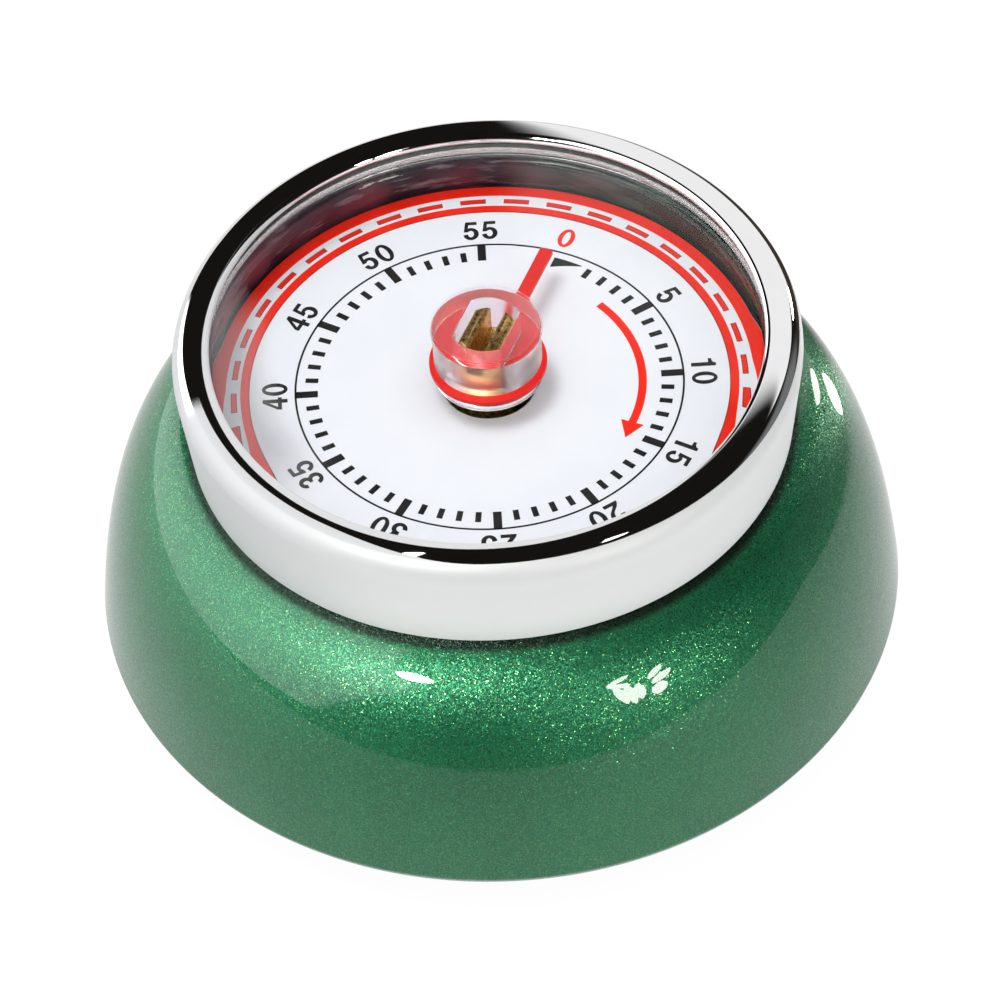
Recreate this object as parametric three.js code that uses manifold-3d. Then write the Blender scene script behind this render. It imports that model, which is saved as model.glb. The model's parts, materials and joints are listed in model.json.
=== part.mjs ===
// A wind-up kitchen timer with a magnet in its foot, in millimetres, +Z up, standing on z = 0.
// The chrome bezel, the clear crystal, the hand and the slotted arbor turn together as one spindle.
// Under the dial sit a mainspring, a train of three toothed wheels, a pin-pallet escapement and a bell.
import * as THREE from "three";
import { mergeVertices } from "three/addons/utils/BufferGeometryUtils.js";
import Module from "manifold-3d";

const wasm = await Module();
wasm.setup();

// ---------- clearances ----------
const FIT = 0.3; // between pieces that seat on each other
const EASE = 0.2; // broken edge
const RUN = 0.3; // round and under pieces that turn

// ---------- magnet and base ----------
const POT_R = 20; // steel pot of the magnet
const POT_H = 4;
const POT_WALL = 1;
const MAGNET_BORE_R = 5.5;
const MAGNET_SINK = 0.3; // the magnet's face lies this deep in its pot
const BASE_LIFT = 1.3; // height of the base plate above the table
const SHEET = 0.7; // pressed sheet of base plate and housing
const SLOT_W = 1.6; // sound slots in the base plate
const SLOT_SPAN = 26; // degrees
const SLOT_SPREAD = 18; // degrees from the middle of a pair
const SCREW_R = 1.2; // shank of every screw
const SCREW_HEAD_R = 2.2;
const SCREW_HEAD_H = 0.7;
const BASE_SCREW_LEN = 4.5;
const BASE_POST_R = 2.3;
const BASE_RIM = 1.1; // base plate outside the posts
const MAGNET_SCREW_HEAD_R = 3;
const RIVET_RISE = 0.4; // a post's riveted end above its plate

// ---------- bell ----------
const BELL_CLEAR = 1.9; // between the bell and the magnet's well
const BELL_T = 0.8;
const BELL_ROUND_W = 6.7; // width of the bell's rounded shoulder
const BELL_ROUND_H = 3; // its height
const BELL_RIM_LIFT = 0.9; // rim above the base plate
const BELL_POST_R = 3.4;
const BELL_POST_SEAT = 0.7;
const BELL_NUT_R = 3;
const BELL_NUT_H = 1.2;

// ---------- movement ----------
const PLATE_T = 1.2;
const PLATE_SPACE = 10; // between the two plates
const PLATE_RIM = 4; // metal outside the outermost pivot or pillar
const CAM_R = 6.2;
const CAM_T = 0.8;
const NOTCH_DEPTH = 1.5;
const HAMMER_HUB_R = 2.4;
const HAMMER_ARM_W = 2;
const HAMMER_NOSE_W = 1.6;
const HAMMER_HEAD_R = 1.5;
const HAMMER_OUT = 3.4; // hammer's screw outside the pillars' ring
const HAMMER_TURN = 150; // degrees round the spindle to the hammer's screw
const NOSE_CLEAR = 1.4; // between the cam and the middle of the hammer's nose
const NOSE_TURN = 165;
const WEIGHT_LIFT = 1.6; // hammer's weight above the base plate
const PILLAR_R = 2.1;
const PILLAR_CLEAR = 1.05; // between the housing posts and the housing's wall
const PILLAR_ANGLES = [-45, 115, 205]; // degrees
const HOUSING_POST_LEN = 2.5;
const PIVOT_R = 0.5;
const ARBOR_R = 0.75; // arbors of the train
const WHEEL_T = 0.8;
const PINION_FACE = 1.9;
const SPOKE_W = 1.6;
const WHEEL_HUB_WALL = 1.7; // round an arbor's hole
const WHEEL_RIM = 1.4; // under the teeth
const SECOND_WHEEL_LIFT = 1.2; // above the main wheel
const THIRD_WHEEL_LIFT = 2.2; // above the back plate

// ---------- gear train, wheel first and then the pinion it drives ----------
const MAIN = { teeth: 36, leaves: 6, pitch: 0.8 };
const SECOND = { teeth: 30, leaves: 6, pitch: 0.667 };
const THIRD = { teeth: 36, leaves: 6, pitch: 0.467 };
const TOOTH_SHARE = 0.46; // wheel tooth as a share of its pitch
const LEAF_SHARE = 0.38; // pinion leaf as a share of its pitch
const ESCAPE_TEETH = 24;
const ESCAPE_R = 4.4;
const PALLET_DISTANCE = 6.8; // from the escape arbor to the pallet arbor
const PALLET_PIN_R = 0.4;
const PALLET_PIN_RING = 5.6;
const PALLET_SPREAD = 52; // degrees each side of the line of centres
const BAR_HALF = 6.4; // inertia bar
const BAR_W = 2;
const BAR_T = 1.2;
const BAR_LIFT = 3; // above the mainspring's foot
const BAR_HUB_WALL = 1;
const ESCAPE_TOOTH_H = 1.1;
const ANCHOR_HUB_WALL = 1;
const ANCHOR_ARM_W = 1.1;

// ---------- mainspring ----------
const SPRING_TURNS = 5;
const SPRING_PITCH = 1.32;
const SPRING_T = 0.4;
const SPRING_W = 4.2;
const SPRING_GAP = 1.1; // from the spring to the third wheel's teeth

// ---------- spindle ----------
const SPINDLE_R = 3.2;
const JOURNAL_R = 2; // foot of the arbor, in the back plate
const CLUTCH_W = 2;
const CLUTCH_T = 0.3;
const CLUTCH_DISH = 0.4;
const TRAVEL = 336; // degrees from 0 to 55 minutes
const HAND_ANGLE = 66; // degrees from +X at rest, on the dial's 0
const STOP_RING = 7.5;
const STOP_PEG_R = 0.8;
const STOP_T = 0.8;
const STOP_HUB_WALL = 1.4;
const STOP_PEG_RISE = 0.5; // above the stop disc
const BUSH_WALL = 1.3;
const BUSH_LIP = 0.6;
const BUSH_RISE = 0.5; // above the front plate

// ---------- housing ----------
const BODY_R = 35;
const BELLY_Z = 4.34; // height of the widest circle
const SIDE_PULL = { in: 0.0725, up: 0.285 }; // Bezier handles of the side, as shares of its width and height
const ROUND_PULL = { in: 0.23, up: 0.87 };
const FOOT_ROUND_W = 0.6;
const FOOT_ROUND_H = 0.9;
const SHOULDER_OUT = 2.05; // shoulder's edge outside the neck
const SHOULDER_DROP = 3.15; // shoulder's edge under the housing's top face
const FOLD_OUT = 0.5; // fold between shoulder and neck
const FOLD_H = 0.9;
const NECK_R = 24.45;
const NECK_WALL = 0.6;
const NECK_RISE = 2.9; // neck above the dial

// ---------- dial, hand, bezel and crystal ----------
const DIAL_T = 0.57;
const DIAL_HOLE_R = 4;
const TOP_HOLE_R = 6; // in the housing, under the dial
const COLLAR_R = 4.7;
const COLLAR_H = 0.8;
const HAND_LIFT = 2.6; // hand above the dial
const HAND_T = 0.4;
const HAND_HUB_R = 5;
const HAND_LEN = 13.8;
const HAND_W = 1.15;
const BOSS_R = 4.6;
const FLAT_R = 2.8; // slotted end of the arbor, a round with two flats
const FLAT_HALF = 1.9;
const SLOT_HALF = 0.65;
const SLOT_DEPTH = 2.6;
const PRONG_DROP = 0.8; // prongs' tips under the crystal's crown
const CROWN_SAG = 2.3; // fall of the dome from its crown to the bezel's lip
const CRYSTAL_T = 0.9;
const SKIRT_T = 0.9;
const SKIRT_H = 2.2;
const BEZEL_LIFT = 0.9; // bezel's lower edge above the shoulder's edge
const BEZEL_CLEAR = 0.75; // between the neck and the bezel
const BEZEL_FLARE = 0.88;
const BEZEL_WALL = 0.7;
const RIM_LIFT = 6.7; // bezel's top above the dial
const ROLL_R = 1.9; // round of the bezel's rolled top
const LIP_W = 1.75; // bezel's lip inside its wall
const LIP_T = 0.85;

// ---------- facets ----------
const LARGE = 40; // segments of a large round
const MEDIUM = 28;
const FINE = 20;
const SMALL = 8;

const DEG = Math.PI / 180;
const TAU = 2 * Math.PI;
const hubR = SCREW_R + FIT; // every screw hole
const wellR = POT_R + FIT;
const bellR = wellR + SHEET + BELL_CLEAR + BELL_T;
const basePostRing = bellR + 2 * RUN + BASE_POST_R;
const footMouthR = basePostRing + BASE_POST_R + BASE_RIM;
const neckInner = NECK_R - NECK_WALL;
const pillarRing = neckInner - SHEET - PILLAR_CLEAR - PILLAR_R;
const bezelInner = NECK_R + BEZEL_CLEAR;
const bezelR = bezelInner + BEZEL_WALL; // at the bezel's lower edge
const lipR = bezelInner - LIP_W;
const crystalR = bezelInner - FIT;
const polar = (radius, degrees) => [radius * Math.cos(degrees * DEG), radius * Math.sin(degrees * DEG)];

// ---------- heights, from the table up ----------
const baseTop = BASE_LIFT + SHEET;
const wellTop = POT_H + FIT + SHEET;
const bellUnder = wellTop + FIT + BELL_POST_SEAT + FIT;
const bellTop = bellUnder + BELL_T;
const nutTop = bellTop + FIT + BELL_NUT_H;
const spindleFoot = nutTop + RUN;
const camUnder = spindleFoot + RUN;
const camTop = camUnder + CAM_T;
const backPlateZ = camTop + 2 * RUN;
const backPlateTop = backPlateZ + PLATE_T;
const frontPlateZ = backPlateTop + PLATE_SPACE;
const frontPlateTop = frontPlateZ + PLATE_T;
const springZ = backPlateTop + 2 * RUN;
const thirdWheelZ = backPlateTop + THIRD_WHEEL_LIFT;
const barZ = springZ + BAR_LIFT;
const mainWheelZ = springZ + SPRING_W + 2 * RUN;
const secondWheelZ = mainWheelZ + WHEEL_T + SECOND_WHEEL_LIFT;
const escapeWheelZ = secondWheelZ;
const anchorZ = escapeWheelZ + WHEEL_T + RUN;
const topFaceUnder = frontPlateTop + FIT + HOUSING_POST_LEN + FIT;
const topFace = topFaceUnder + SHEET;
const dialTop = topFace + FIT + DIAL_T;
const shoulderZ = topFace - SHOULDER_DROP;
const neckTop = dialTop + NECK_RISE;
const collarZ = dialTop + HAND_LIFT - FIT - COLLAR_H;
const handZ = dialTop + HAND_LIFT;
const bossUnder = handZ + HAND_T + FIT;
const rimTop = dialTop + RIM_LIFT;
const crystalAtLip = rimTop - LIP_T - FIT;
const crown = crystalAtLip + CROWN_SAG;
const prongTip = crown - PRONG_DROP;

// ---------- solids ----------
function solidOf(geometry) {
  const bare = geometry.clone();
  bare.deleteAttribute("normal");
  bare.deleteAttribute("uv");
  const merged = mergeVertices(bare, 1e-4);
  return new wasm.Manifold(
    new wasm.Mesh({
      numProp: 3,
      vertProperties: merged.attributes.position.array,
      triVerts: new Uint32Array(merged.index.array),
    }),
  );
}

function geometryOf(solid) {
  const mesh = solid.getMesh();
  const geometry = new THREE.BufferGeometry();
  geometry.setAttribute("position", new THREE.BufferAttribute(mesh.vertProperties, 3));
  geometry.setIndex(new THREE.BufferAttribute(mesh.triVerts, 1));
  geometry.computeVertexNormals();
  return geometry;
}

const cut = (body, ...tools) =>
  geometryOf(tools.reduce((solid, tool) => solid.subtract(solidOf(tool)), solidOf(body)));
const join = (body, ...others) =>
  geometryOf(others.reduce((solid, other) => solid.add(solidOf(other)), solidOf(body)));

// Turns a closed outline of [radius, height] points, anticlockwise, about Z.
function turned(outline, segments) {
  const points = outline.map(([r, z]) => new THREE.Vector2(r, z));
  if (outline[0][0] > 0) points.push(points[0].clone());
  return new THREE.LatheGeometry(points, segments).rotateX(Math.PI / 2);
}

const tube = (outer, inner, bottom, top, segments = SMALL) =>
  turned([[inner, bottom], [outer, bottom], [outer, top], [inner, top]], segments);
const rod = (radius, bottom, top, segments = SMALL) =>
  turned([[0, bottom], [radius, bottom], [radius, top], [0, top]], segments);

function circle(radius, segments = SMALL, x = 0, y = 0) {
  const points = [];
  for (let i = 0; i < segments; i++) {
    const a = (i * TAU) / segments;
    points.push(new THREE.Vector2(x + radius * Math.cos(a), y + radius * Math.sin(a)));
  }
  return points;
}

function pressed(outline, holes, bottom, thickness) {
  const shape = new THREE.Shape(outline);
  for (const hole of holes) shape.holes.push(new THREE.Path(hole));
  const options = { depth: thickness, bevelEnabled: false };
  return new THREE.ExtrudeGeometry(shape, options).translate(0, 0, bottom);
}

// A flat bar with round ends between two points.
function strap([x1, y1], [x2, y2], width, bottom, thickness) {
  const along = Math.atan2(y2 - y1, x2 - x1);
  const points = [];
  for (const [x, y, start] of [[x2, y2, along - Math.PI / 2], [x1, y1, along + Math.PI / 2]])
    for (let i = 0; i <= SMALL / 2; i++) {
      const a = start + (i * TAU) / SMALL;
      points.push(new THREE.Vector2(x + (width / 2) * Math.cos(a), y + (width / 2) * Math.sin(a)));
    }
  return pressed(points, [], bottom, thickness);
}

// Windows between parallel spokes, as holes for a wheel's outline.
function windows(inner, outer, count) {
  const holes = [];
  for (let i = 0; i < count; i++) {
    const points = [];
    for (const [radius, from, to] of [[outer, 0, 1], [inner, 1, 0]])
      for (let j = 0; j <= 3; j++) {
        const edge = Math.asin(SPOKE_W / 2 / radius);
        const share = from + ((to - from) * j) / 3;
        const a = (i * TAU) / count + edge + share * (TAU / count - 2 * edge);
        points.push(new THREE.Vector2(radius * Math.cos(a), radius * Math.sin(a)));
      }
    holes.push(points);
  }
  return holes;
}

// ---------- gear teeth ----------
// The wheels' tips are epicycloids rolled by half the pinion, the pinions' leaves have radial flanks.
const ADDENDUM = 1.05; // all in shares of the gear's pitch
const WHEEL_ROOT = 1.15;
const LEAF_TIP = 0.65;
const LEAF_ROOT = 1.45;

function epicycloidAngle(pitchR, rollR, radius) {
  const centre = pitchR + rollR;
  const cosine = (centre ** 2 + rollR ** 2 - radius ** 2) / (2 * centre * rollR);
  const rolled = Math.acos(cosine) * (rollR / pitchR);
  const turn = (centre / rollR) * rolled;
  const x = centre * Math.cos(rolled) - rollR * Math.cos(turn);
  const y = centre * Math.sin(rolled) - rollR * Math.sin(turn);
  return Math.atan2(y, x);
}

function toothed(count, levels) {
  const points = [];
  for (let i = 0; i < count; i++) {
    const middle = (i * TAU) / count;
    for (const [radius, half] of levels)
      points.push(new THREE.Vector2(radius * Math.cos(middle - half), radius * Math.sin(middle - half)));
    for (const [radius, half] of [...levels].reverse())
      points.push(new THREE.Vector2(radius * Math.cos(middle + half), radius * Math.sin(middle + half)));
  }
  return points;
}

function wheelOutline({ teeth, leaves, pitch }) {
  const pitchR = (pitch * teeth) / 2;
  const rollR = (pitch * leaves) / 4;
  const half = (TAU / teeth / 2) * TOOTH_SHARE;
  const tipR = pitchR + ADDENDUM * pitch;
  const tipHalf = half - epicycloidAngle(pitchR, rollR, tipR);
  return toothed(teeth, [[pitchR - WHEEL_ROOT * pitch, half], [pitchR, half], [tipR, tipHalf]]);
}

function pinionOutline({ leaves, pitch }) {
  const pitchR = (pitch * leaves) / 2;
  const half = (TAU / leaves / 2) * LEAF_SHARE;
  const tipR = pitchR + LEAF_TIP * pitch;
  return toothed(leaves, [[pitchR - LEAF_ROOT * pitch, half], [pitchR, half], [tipR, half / 2]]);
}

const wheelTip = ({ teeth, pitch }) => (teeth / 2 + ADDENDUM) * pitch;
const centres = ({ teeth, leaves, pitch }) => (pitch * (teeth + leaves)) / 2;

// ---------- where the arbors stand ----------
const springOuter = SPINDLE_R + FIT + SPRING_TURNS * SPRING_PITCH + SPRING_T;
const trainRing = springOuter + SPRING_GAP + wheelTip(THIRD);
const secondAt = [centres(MAIN), 0];
const thirdTurn = Math.acos(
  (centres(MAIN) ** 2 + trainRing ** 2 - centres(SECOND) ** 2) / (2 * centres(MAIN) * trainRing),
) / DEG;
const ringStep = (distance) => (2 * Math.asin(distance / 2 / trainRing)) / DEG;
const escapeTurn = thirdTurn + ringStep(centres(THIRD));
const palletTurn = escapeTurn + ringStep(PALLET_DISTANCE);
const thirdAt = polar(trainRing, thirdTurn);
const escapeAt = polar(trainRing, escapeTurn);
const palletAt = polar(trainRing, palletTurn);
const plateR = Math.max(trainRing, pillarRing) + PLATE_RIM;
const shoulderR = Math.max(NECK_R + SHOULDER_OUT, plateR + FIT + SHEET); // clears the front plate
const direction = ([x1, y1], [x2, y2]) => Math.atan2(y2 - y1, x2 - x1);

// ---------- materials ----------
function material(color, metalness, roughness, opacity = 1) {
  return new THREE.MeshStandardMaterial({ color, metalness, roughness, opacity, transparent: opacity < 1 });
}
const greenFlake = () => material(0x0b6b38, 0.5, 0.25);
const chrome = () => material(0xe6e8ea, 1, 0.06);
const brass = () => material(0xb98a3a, 1, 0.25);
const steel = () => material(0x9aa0a6, 1, 0.35);
const blueSteel = () => material(0x3d4a5c, 1, 0.3);
const ferrite = () => material(0x2a2b2d, 0.1, 0.7);
const print = () => material(0xebf0f8, 0, 0.4);
const red = () => material(0xe2341f, 0, 0.35);
const clear = () => material(0xf4f8fa, 0, 0.02, 0.25);

function piece(parent, name, geometry, finish, [x, y] = [0, 0], turn = 0) {
  const mesh = new THREE.Mesh(geometry, finish);
  mesh.name = name;
  mesh.position.set(x, y, 0);
  mesh.rotation.z = turn;
  parent.add(mesh);
}

// ---------- housing ----------
function bodyCurve(wall) {
  const outer = BODY_R - wall;
  const shoulder = shoulderR - wall;
  const top = shoulderZ - wall;
  const rise = top - BELLY_Z;
  const fall = outer - shoulder;
  return new THREE.CubicBezierCurve(
    new THREE.Vector2(outer, BELLY_Z),
    new THREE.Vector2(outer - SIDE_PULL.in * fall, BELLY_Z + SIDE_PULL.up * rise),
    new THREE.Vector2(outer - ROUND_PULL.in * fall, BELLY_Z + ROUND_PULL.up * rise),
    new THREE.Vector2(shoulder, top),
  ).getPoints(wall ? 4 : 6);
}

function footCurve(wall) {
  return new THREE.QuadraticBezierCurve(
    new THREE.Vector2(footMouthR, BASE_LIFT + wall),
    new THREE.Vector2(BODY_R - FOOT_ROUND_W - wall, BASE_LIFT + FOOT_ROUND_H + wall),
    new THREE.Vector2(BODY_R - wall, BELLY_Z),
  ).getPoints(3);
}

function bodyShell() {
  const outline = [];
  const trace = (points) => points.forEach((p) => outline.push([p.x, p.y]));
  trace(footCurve(0).slice(0, -1));
  trace(bodyCurve(0));
  outline.push([NECK_R + FOLD_OUT, shoulderZ + FOLD_H], [NECK_R, shoulderZ + FOLD_H + FOLD_OUT]);
  outline.push([NECK_R, neckTop - NECK_WALL / 2], [NECK_R - NECK_WALL / 2, neckTop]);
  outline.push([neckInner, neckTop - NECK_WALL / 2], [neckInner, topFace]);
  outline.push([TOP_HOLE_R, topFace], [TOP_HOLE_R, topFaceUnder]);
  outline.push([neckInner - SHEET, topFaceUnder], [neckInner - SHEET / 2, shoulderZ + FOLD_H - SHEET / 2]);
  trace(bodyCurve(SHEET).reverse());
  trace(footCurve(SHEET).slice(0, -1).reverse());
  return turned(outline, LARGE);
}

// ---------- base ----------
function soundSlot(middle) {
  const radius = (POT_R + footMouthR) / 2;
  const points = [];
  for (const [r, sign] of [[radius + SLOT_W / 2, 1], [radius - SLOT_W / 2, -1]])
    for (let i = -2; i <= 2; i++) {
      const [x, y] = polar(r, middle + (sign * i * SLOT_SPAN) / 4);
      points.push(new THREE.Vector2(x, y));
    }
  return pressed(points, [], 0, POT_H);
}

function basePlate() {
  const rim = footMouthR - FIT;
  const sheet = turned(
    [
      [hubR, wellTop - SHEET],
      [wellR, wellTop - SHEET],
      [wellR, BASE_LIFT],
      [rim, BASE_LIFT],
      [rim, baseTop],
      [wellR + SHEET, baseTop],
      [wellR + SHEET, wellTop],
      [hubR, wellTop],
    ],
    LARGE,
  );
  const tools = [];
  for (const side of [60, 180, 300]) {
    tools.push(soundSlot(side - SLOT_SPREAD), soundSlot(side + SLOT_SPREAD));
    const [x, y] = polar(basePostRing, side - 60);
    tools.push(rod(hubR, 0, POT_H).translate(x, y, 0));
  }
  return cut(sheet, ...tools);
}

function magnetCup() {
  const roof = POT_H - POT_WALL;
  const wall = POT_R - POT_WALL;
  return turned(
    [[hubR, roof], [wall, roof], [wall, 0], [POT_R, 0], [POT_R, POT_H], [hubR, POT_H]],
    LARGE,
  );
}

function ringMagnet() {
  const roof = POT_H - POT_WALL;
  return tube(POT_R - POT_WALL - FIT, MAGNET_BORE_R, MAGNET_SINK, roof - FIT, MEDIUM);
}

// A pan-head screw whose head rests under z = seat, with its shank pointing up.
function screw(seat, length, headR = SCREW_HEAD_R) {
  const under = seat - FIT;
  const low = under - SCREW_HEAD_H;
  return turned(
    [
      [0, low],
      [headR, low],
      [headR, under],
      [SCREW_R, under],
      [SCREW_R, seat + length],
      [0, seat + length],
    ],
    SMALL,
  );
}

function basePost() {
  const shoulder = backPlateZ - FIT;
  const bore = baseTop + FIT + BASE_SCREW_LEN;
  return turned(
    [
      [0, bore],
      [hubR, bore],
      [hubR, baseTop + FIT],
      [BASE_POST_R, baseTop + FIT],
      [BASE_POST_R, shoulder],
      [SCREW_R, shoulder],
      [SCREW_R, backPlateTop + RIVET_RISE],
      [0, backPlateTop + RIVET_RISE],
    ],
    SMALL,
  );
}

// ---------- bell ----------
function bell() {
  const rimZ = baseTop + BELL_RIM_LIFT;
  const shoulder = (shrink) =>
    new THREE.EllipseCurve(
      bellR - BELL_ROUND_W, bellTop - BELL_ROUND_H,
      BELL_ROUND_W - shrink, BELL_ROUND_H - shrink,
      0, Math.PI / 2,
    ).getPoints(3).map((p) => [p.x, p.y]);
  return turned(
    [
      [bellR, rimZ],
      ...shoulder(0),
      [hubR, bellTop],
      [hubR, bellUnder],
      ...shoulder(BELL_T).reverse(),
      [bellR - BELL_T, rimZ],
    ],
    MEDIUM,
  );
}

function bellPost() {
  const seat = wellTop + FIT;
  return tube(BELL_POST_R, hubR, seat, seat + BELL_POST_SEAT, FINE);
}

// ---------- plates ----------
const around = (ring, angles) => angles.map((a) => polar(ring, a));
const pillarsAt = around(pillarRing, PILLAR_ANGLES);
const basePostsAt = around(basePostRing, [0, 120, 240]);
const pivotsAt = [secondAt, thirdAt, escapeAt, palletAt];
const drilled = (radius, places, segments = 8) => places.map(([x, y]) => circle(radius, segments, x, y));

function backPlate() {
  const holes = [
    circle(JOURNAL_R + RUN, SMALL),
    ...drilled(hubR, pillarsAt),
    ...drilled(hubR, basePostsAt),
    ...drilled(PIVOT_R + RUN, pivotsAt),
  ];
  return pressed(circle(basePostRing + BASE_POST_R, MEDIUM), holes, backPlateZ, PLATE_T);
}

function frontPlate() {
  const holes = [
    circle(SPINDLE_R + RUN + BUSH_WALL + FIT, FINE),
    ...drilled(hubR, pillarsAt),
    ...drilled(PIVOT_R + RUN, pivotsAt),
  ];
  return pressed(circle(plateR, MEDIUM), holes, frontPlateZ, PLATE_T);
}

// ---------- arbors with their pinions ----------
// Pivots run in both plates, and the arbor's shoulders stand RUN clear of them.
function arbor(radius) {
  const low = backPlateTop + RUN;
  const high = frontPlateZ - RUN;
  return turned(
    [
      [0, backPlateZ],
      [PIVOT_R, backPlateZ],
      [PIVOT_R, low],
      [radius, low],
      [radius, high],
      [PIVOT_R, high],
      [PIVOT_R, frontPlateTop],
      [0, frontPlateTop],
    ],
    SMALL,
  );
}

function pinion(drive, wheelZ) {
  const low = wheelZ + WHEEL_T / 2 - PINION_FACE / 2;
  return join(arbor(ARBOR_R), pressed(pinionOutline(drive), [], low, PINION_FACE));
}

function trainWheel(drive, z, spokes) {
  const root = (drive.teeth / 2 - WHEEL_ROOT) * drive.pitch;
  const holes = [circle(ARBOR_R + FIT, SMALL), ...windows(ARBOR_R + FIT + WHEEL_HUB_WALL, root - WHEEL_RIM, spokes)];
  return pressed(wheelOutline(drive), holes, z, WHEEL_T);
}

function mainWheel() {
  const root = (MAIN.teeth / 2 - WHEEL_ROOT) * MAIN.pitch;
  const holes = [circle(SPINDLE_R + FIT, FINE), ...windows(SPINDLE_R + FIT + WHEEL_HUB_WALL, root - WHEEL_RIM, 4)];
  return pressed(wheelOutline(MAIN), holes, mainWheelZ, WHEEL_T);
}

function escapeWheel() {
  const root = ESCAPE_R - ESCAPE_TOOTH_H;
  const points = [];
  for (let i = 0; i < ESCAPE_TEETH; i++) {
    const step = TAU / ESCAPE_TEETH;
    for (const [radius, share] of [[root, 0], [ESCAPE_R, 0.1], [ESCAPE_R, 0.25], [root, 0.6]]) {
      const a = (i + share) * step;
      points.push(new THREE.Vector2(radius * Math.cos(a), radius * Math.sin(a)));
    }
  }
  return pressed(points, [circle(ARBOR_R + FIT, SMALL)], escapeWheelZ, WHEEL_T);
}

// ---------- escapement ----------
const palletLine = direction(palletAt, escapeAt);

function palletAnchor() {
  const hub = tube(ARBOR_R + FIT + ANCHOR_HUB_WALL, ARBOR_R + FIT, anchorZ, anchorZ + WHEEL_T, SMALL);
  const solids = [];
  for (const side of [-1, 1]) {
    const a = side * PALLET_SPREAD * DEG;
    const pin = [PALLET_DISTANCE - PALLET_PIN_RING * Math.cos(a), PALLET_PIN_RING * Math.sin(a)];
    const near = ARBOR_R + FIT + ANCHOR_ARM_W / 2;
    const reach = Math.hypot(...pin);
    const start = [(near * pin[0]) / reach, (near * pin[1]) / reach];
    solids.push(strap(start, pin, ANCHOR_ARM_W, anchorZ, WHEEL_T));
    solids.push(rod(PALLET_PIN_R, escapeWheelZ - 0.2, anchorZ + 0.2, 8).translate(pin[0], pin[1], 0));
  }
  return join(hub, ...solids);
}

function inertiaBar() {
  const hole = ARBOR_R + FIT;
  const bar = strap([0, -BAR_HALF], [0, BAR_HALF], BAR_W, barZ, BAR_T);
  return cut(join(bar, rod(hole + BAR_HUB_WALL, barZ, barZ + BAR_T)), rod(hole, barZ - 1, barZ + BAR_T + 1));
}

// ---------- mainspring ----------
function mainspring() {
  const steps = SPRING_TURNS * 12;
  const sides = [[], []];
  for (let i = 0; i <= steps; i++) {
    const turn = (i / steps) * SPRING_TURNS;
    const radius = SPINDLE_R + FIT + turn * SPRING_PITCH;
    const a = turn * TAU;
    sides[0].push(new THREE.Vector2((radius + SPRING_T) * Math.cos(a), (radius + SPRING_T) * Math.sin(a)));
    sides[1].unshift(new THREE.Vector2(radius * Math.cos(a), radius * Math.sin(a)));
  }
  return pressed([...sides[0], ...sides[1]], [], springZ, SPRING_W);
}

const springPegR = 0.8;
const springPegAt = polar(springOuter + FIT + springPegR, 0);
const springPeg = () => rod(springPegR, backPlateTop + FIT, springZ + SPRING_W);

// ---------- strike ----------
const hammerAt = polar(pillarRing + HAMMER_OUT, HAMMER_TURN);
const hammerHead = [-(bellR + HAMMER_HEAD_R + 2 * RUN), 0];
const noseAt = polar(CAM_R + NOSE_CLEAR, NOSE_TURN);

function strikeCam() {
  const points = [];
  for (let a = 12; a <= 348; a += 12) points.push(new THREE.Vector2(...polar(CAM_R, a)));
  points.push(new THREE.Vector2(...polar(CAM_R - NOTCH_DEPTH, -8)));
  points.push(new THREE.Vector2(...polar(CAM_R - NOTCH_DEPTH, 8)));
  return pressed(points, [circle(JOURNAL_R + FIT, SMALL)], camUnder, CAM_T);
}

function hammerLever() {
  const [x, y] = hammerAt;
  const from = ([px, py]) => [px - x, py - y];
  const hub = rod(HAMMER_HUB_R, camUnder, camTop, SMALL);
  const arm = strap([0, 0], from(hammerHead), HAMMER_ARM_W, camUnder, CAM_T);
  const nose = strap([0, 0], from(noseAt), HAMMER_NOSE_W, camUnder, CAM_T);
  const bore = rod(hubR, camUnder - 1, camTop + 1);
  return cut(join(hub, arm, nose), bore);
}

const hammerWeight = () => rod(HAMMER_HEAD_R, baseTop + WEIGHT_LIFT, camUnder - FIT);

function hammerScrew() {
  const low = camUnder - RUN;
  return screw(low + FIT, backPlateZ - low - 2 * FIT);
}

// ---------- spindle ----------
function doubleD(radius, half, segments) {
  const limit = Math.acos(half / radius);
  const points = [];
  for (const start of [limit, Math.PI + limit])
    for (let i = 0; i <= segments; i++) {
      const a = start + ((Math.PI - 2 * limit) * i) / segments;
      points.push(new THREE.Vector2(radius * Math.cos(a), radius * Math.sin(a)));
    }
  return points;
}

function mainArbor() {
  const shoulder = backPlateTop + RUN;
  const seat = collarZ - FIT;
  const stem = turned(
    [
      [0, spindleFoot],
      [JOURNAL_R, spindleFoot],
      [JOURNAL_R, shoulder],
      [SPINDLE_R, shoulder],
      [SPINDLE_R, seat],
      [0, seat],
    ],
    FINE,
  );
  const end = pressed(doubleD(FLAT_R, FLAT_HALF, 5), [], seat - 1, prongTip - seat + 1);
  const slot = new THREE.BoxGeometry(2 * SLOT_HALF, 3 * FLAT_R, 2 * SLOT_DEPTH).translate(0, 0, prongTip);
  return cut(join(stem, end), slot);
}

function clutchWasher() {
  const low = mainWheelZ + WHEEL_T + FIT;
  const inner = SPINDLE_R + FIT;
  const outer = inner + CLUTCH_W;
  const high = low + CLUTCH_DISH;
  return turned([[inner, high], [outer, low], [outer, low + CLUTCH_T], [inner, high + CLUTCH_T]], FINE);
}

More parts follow.
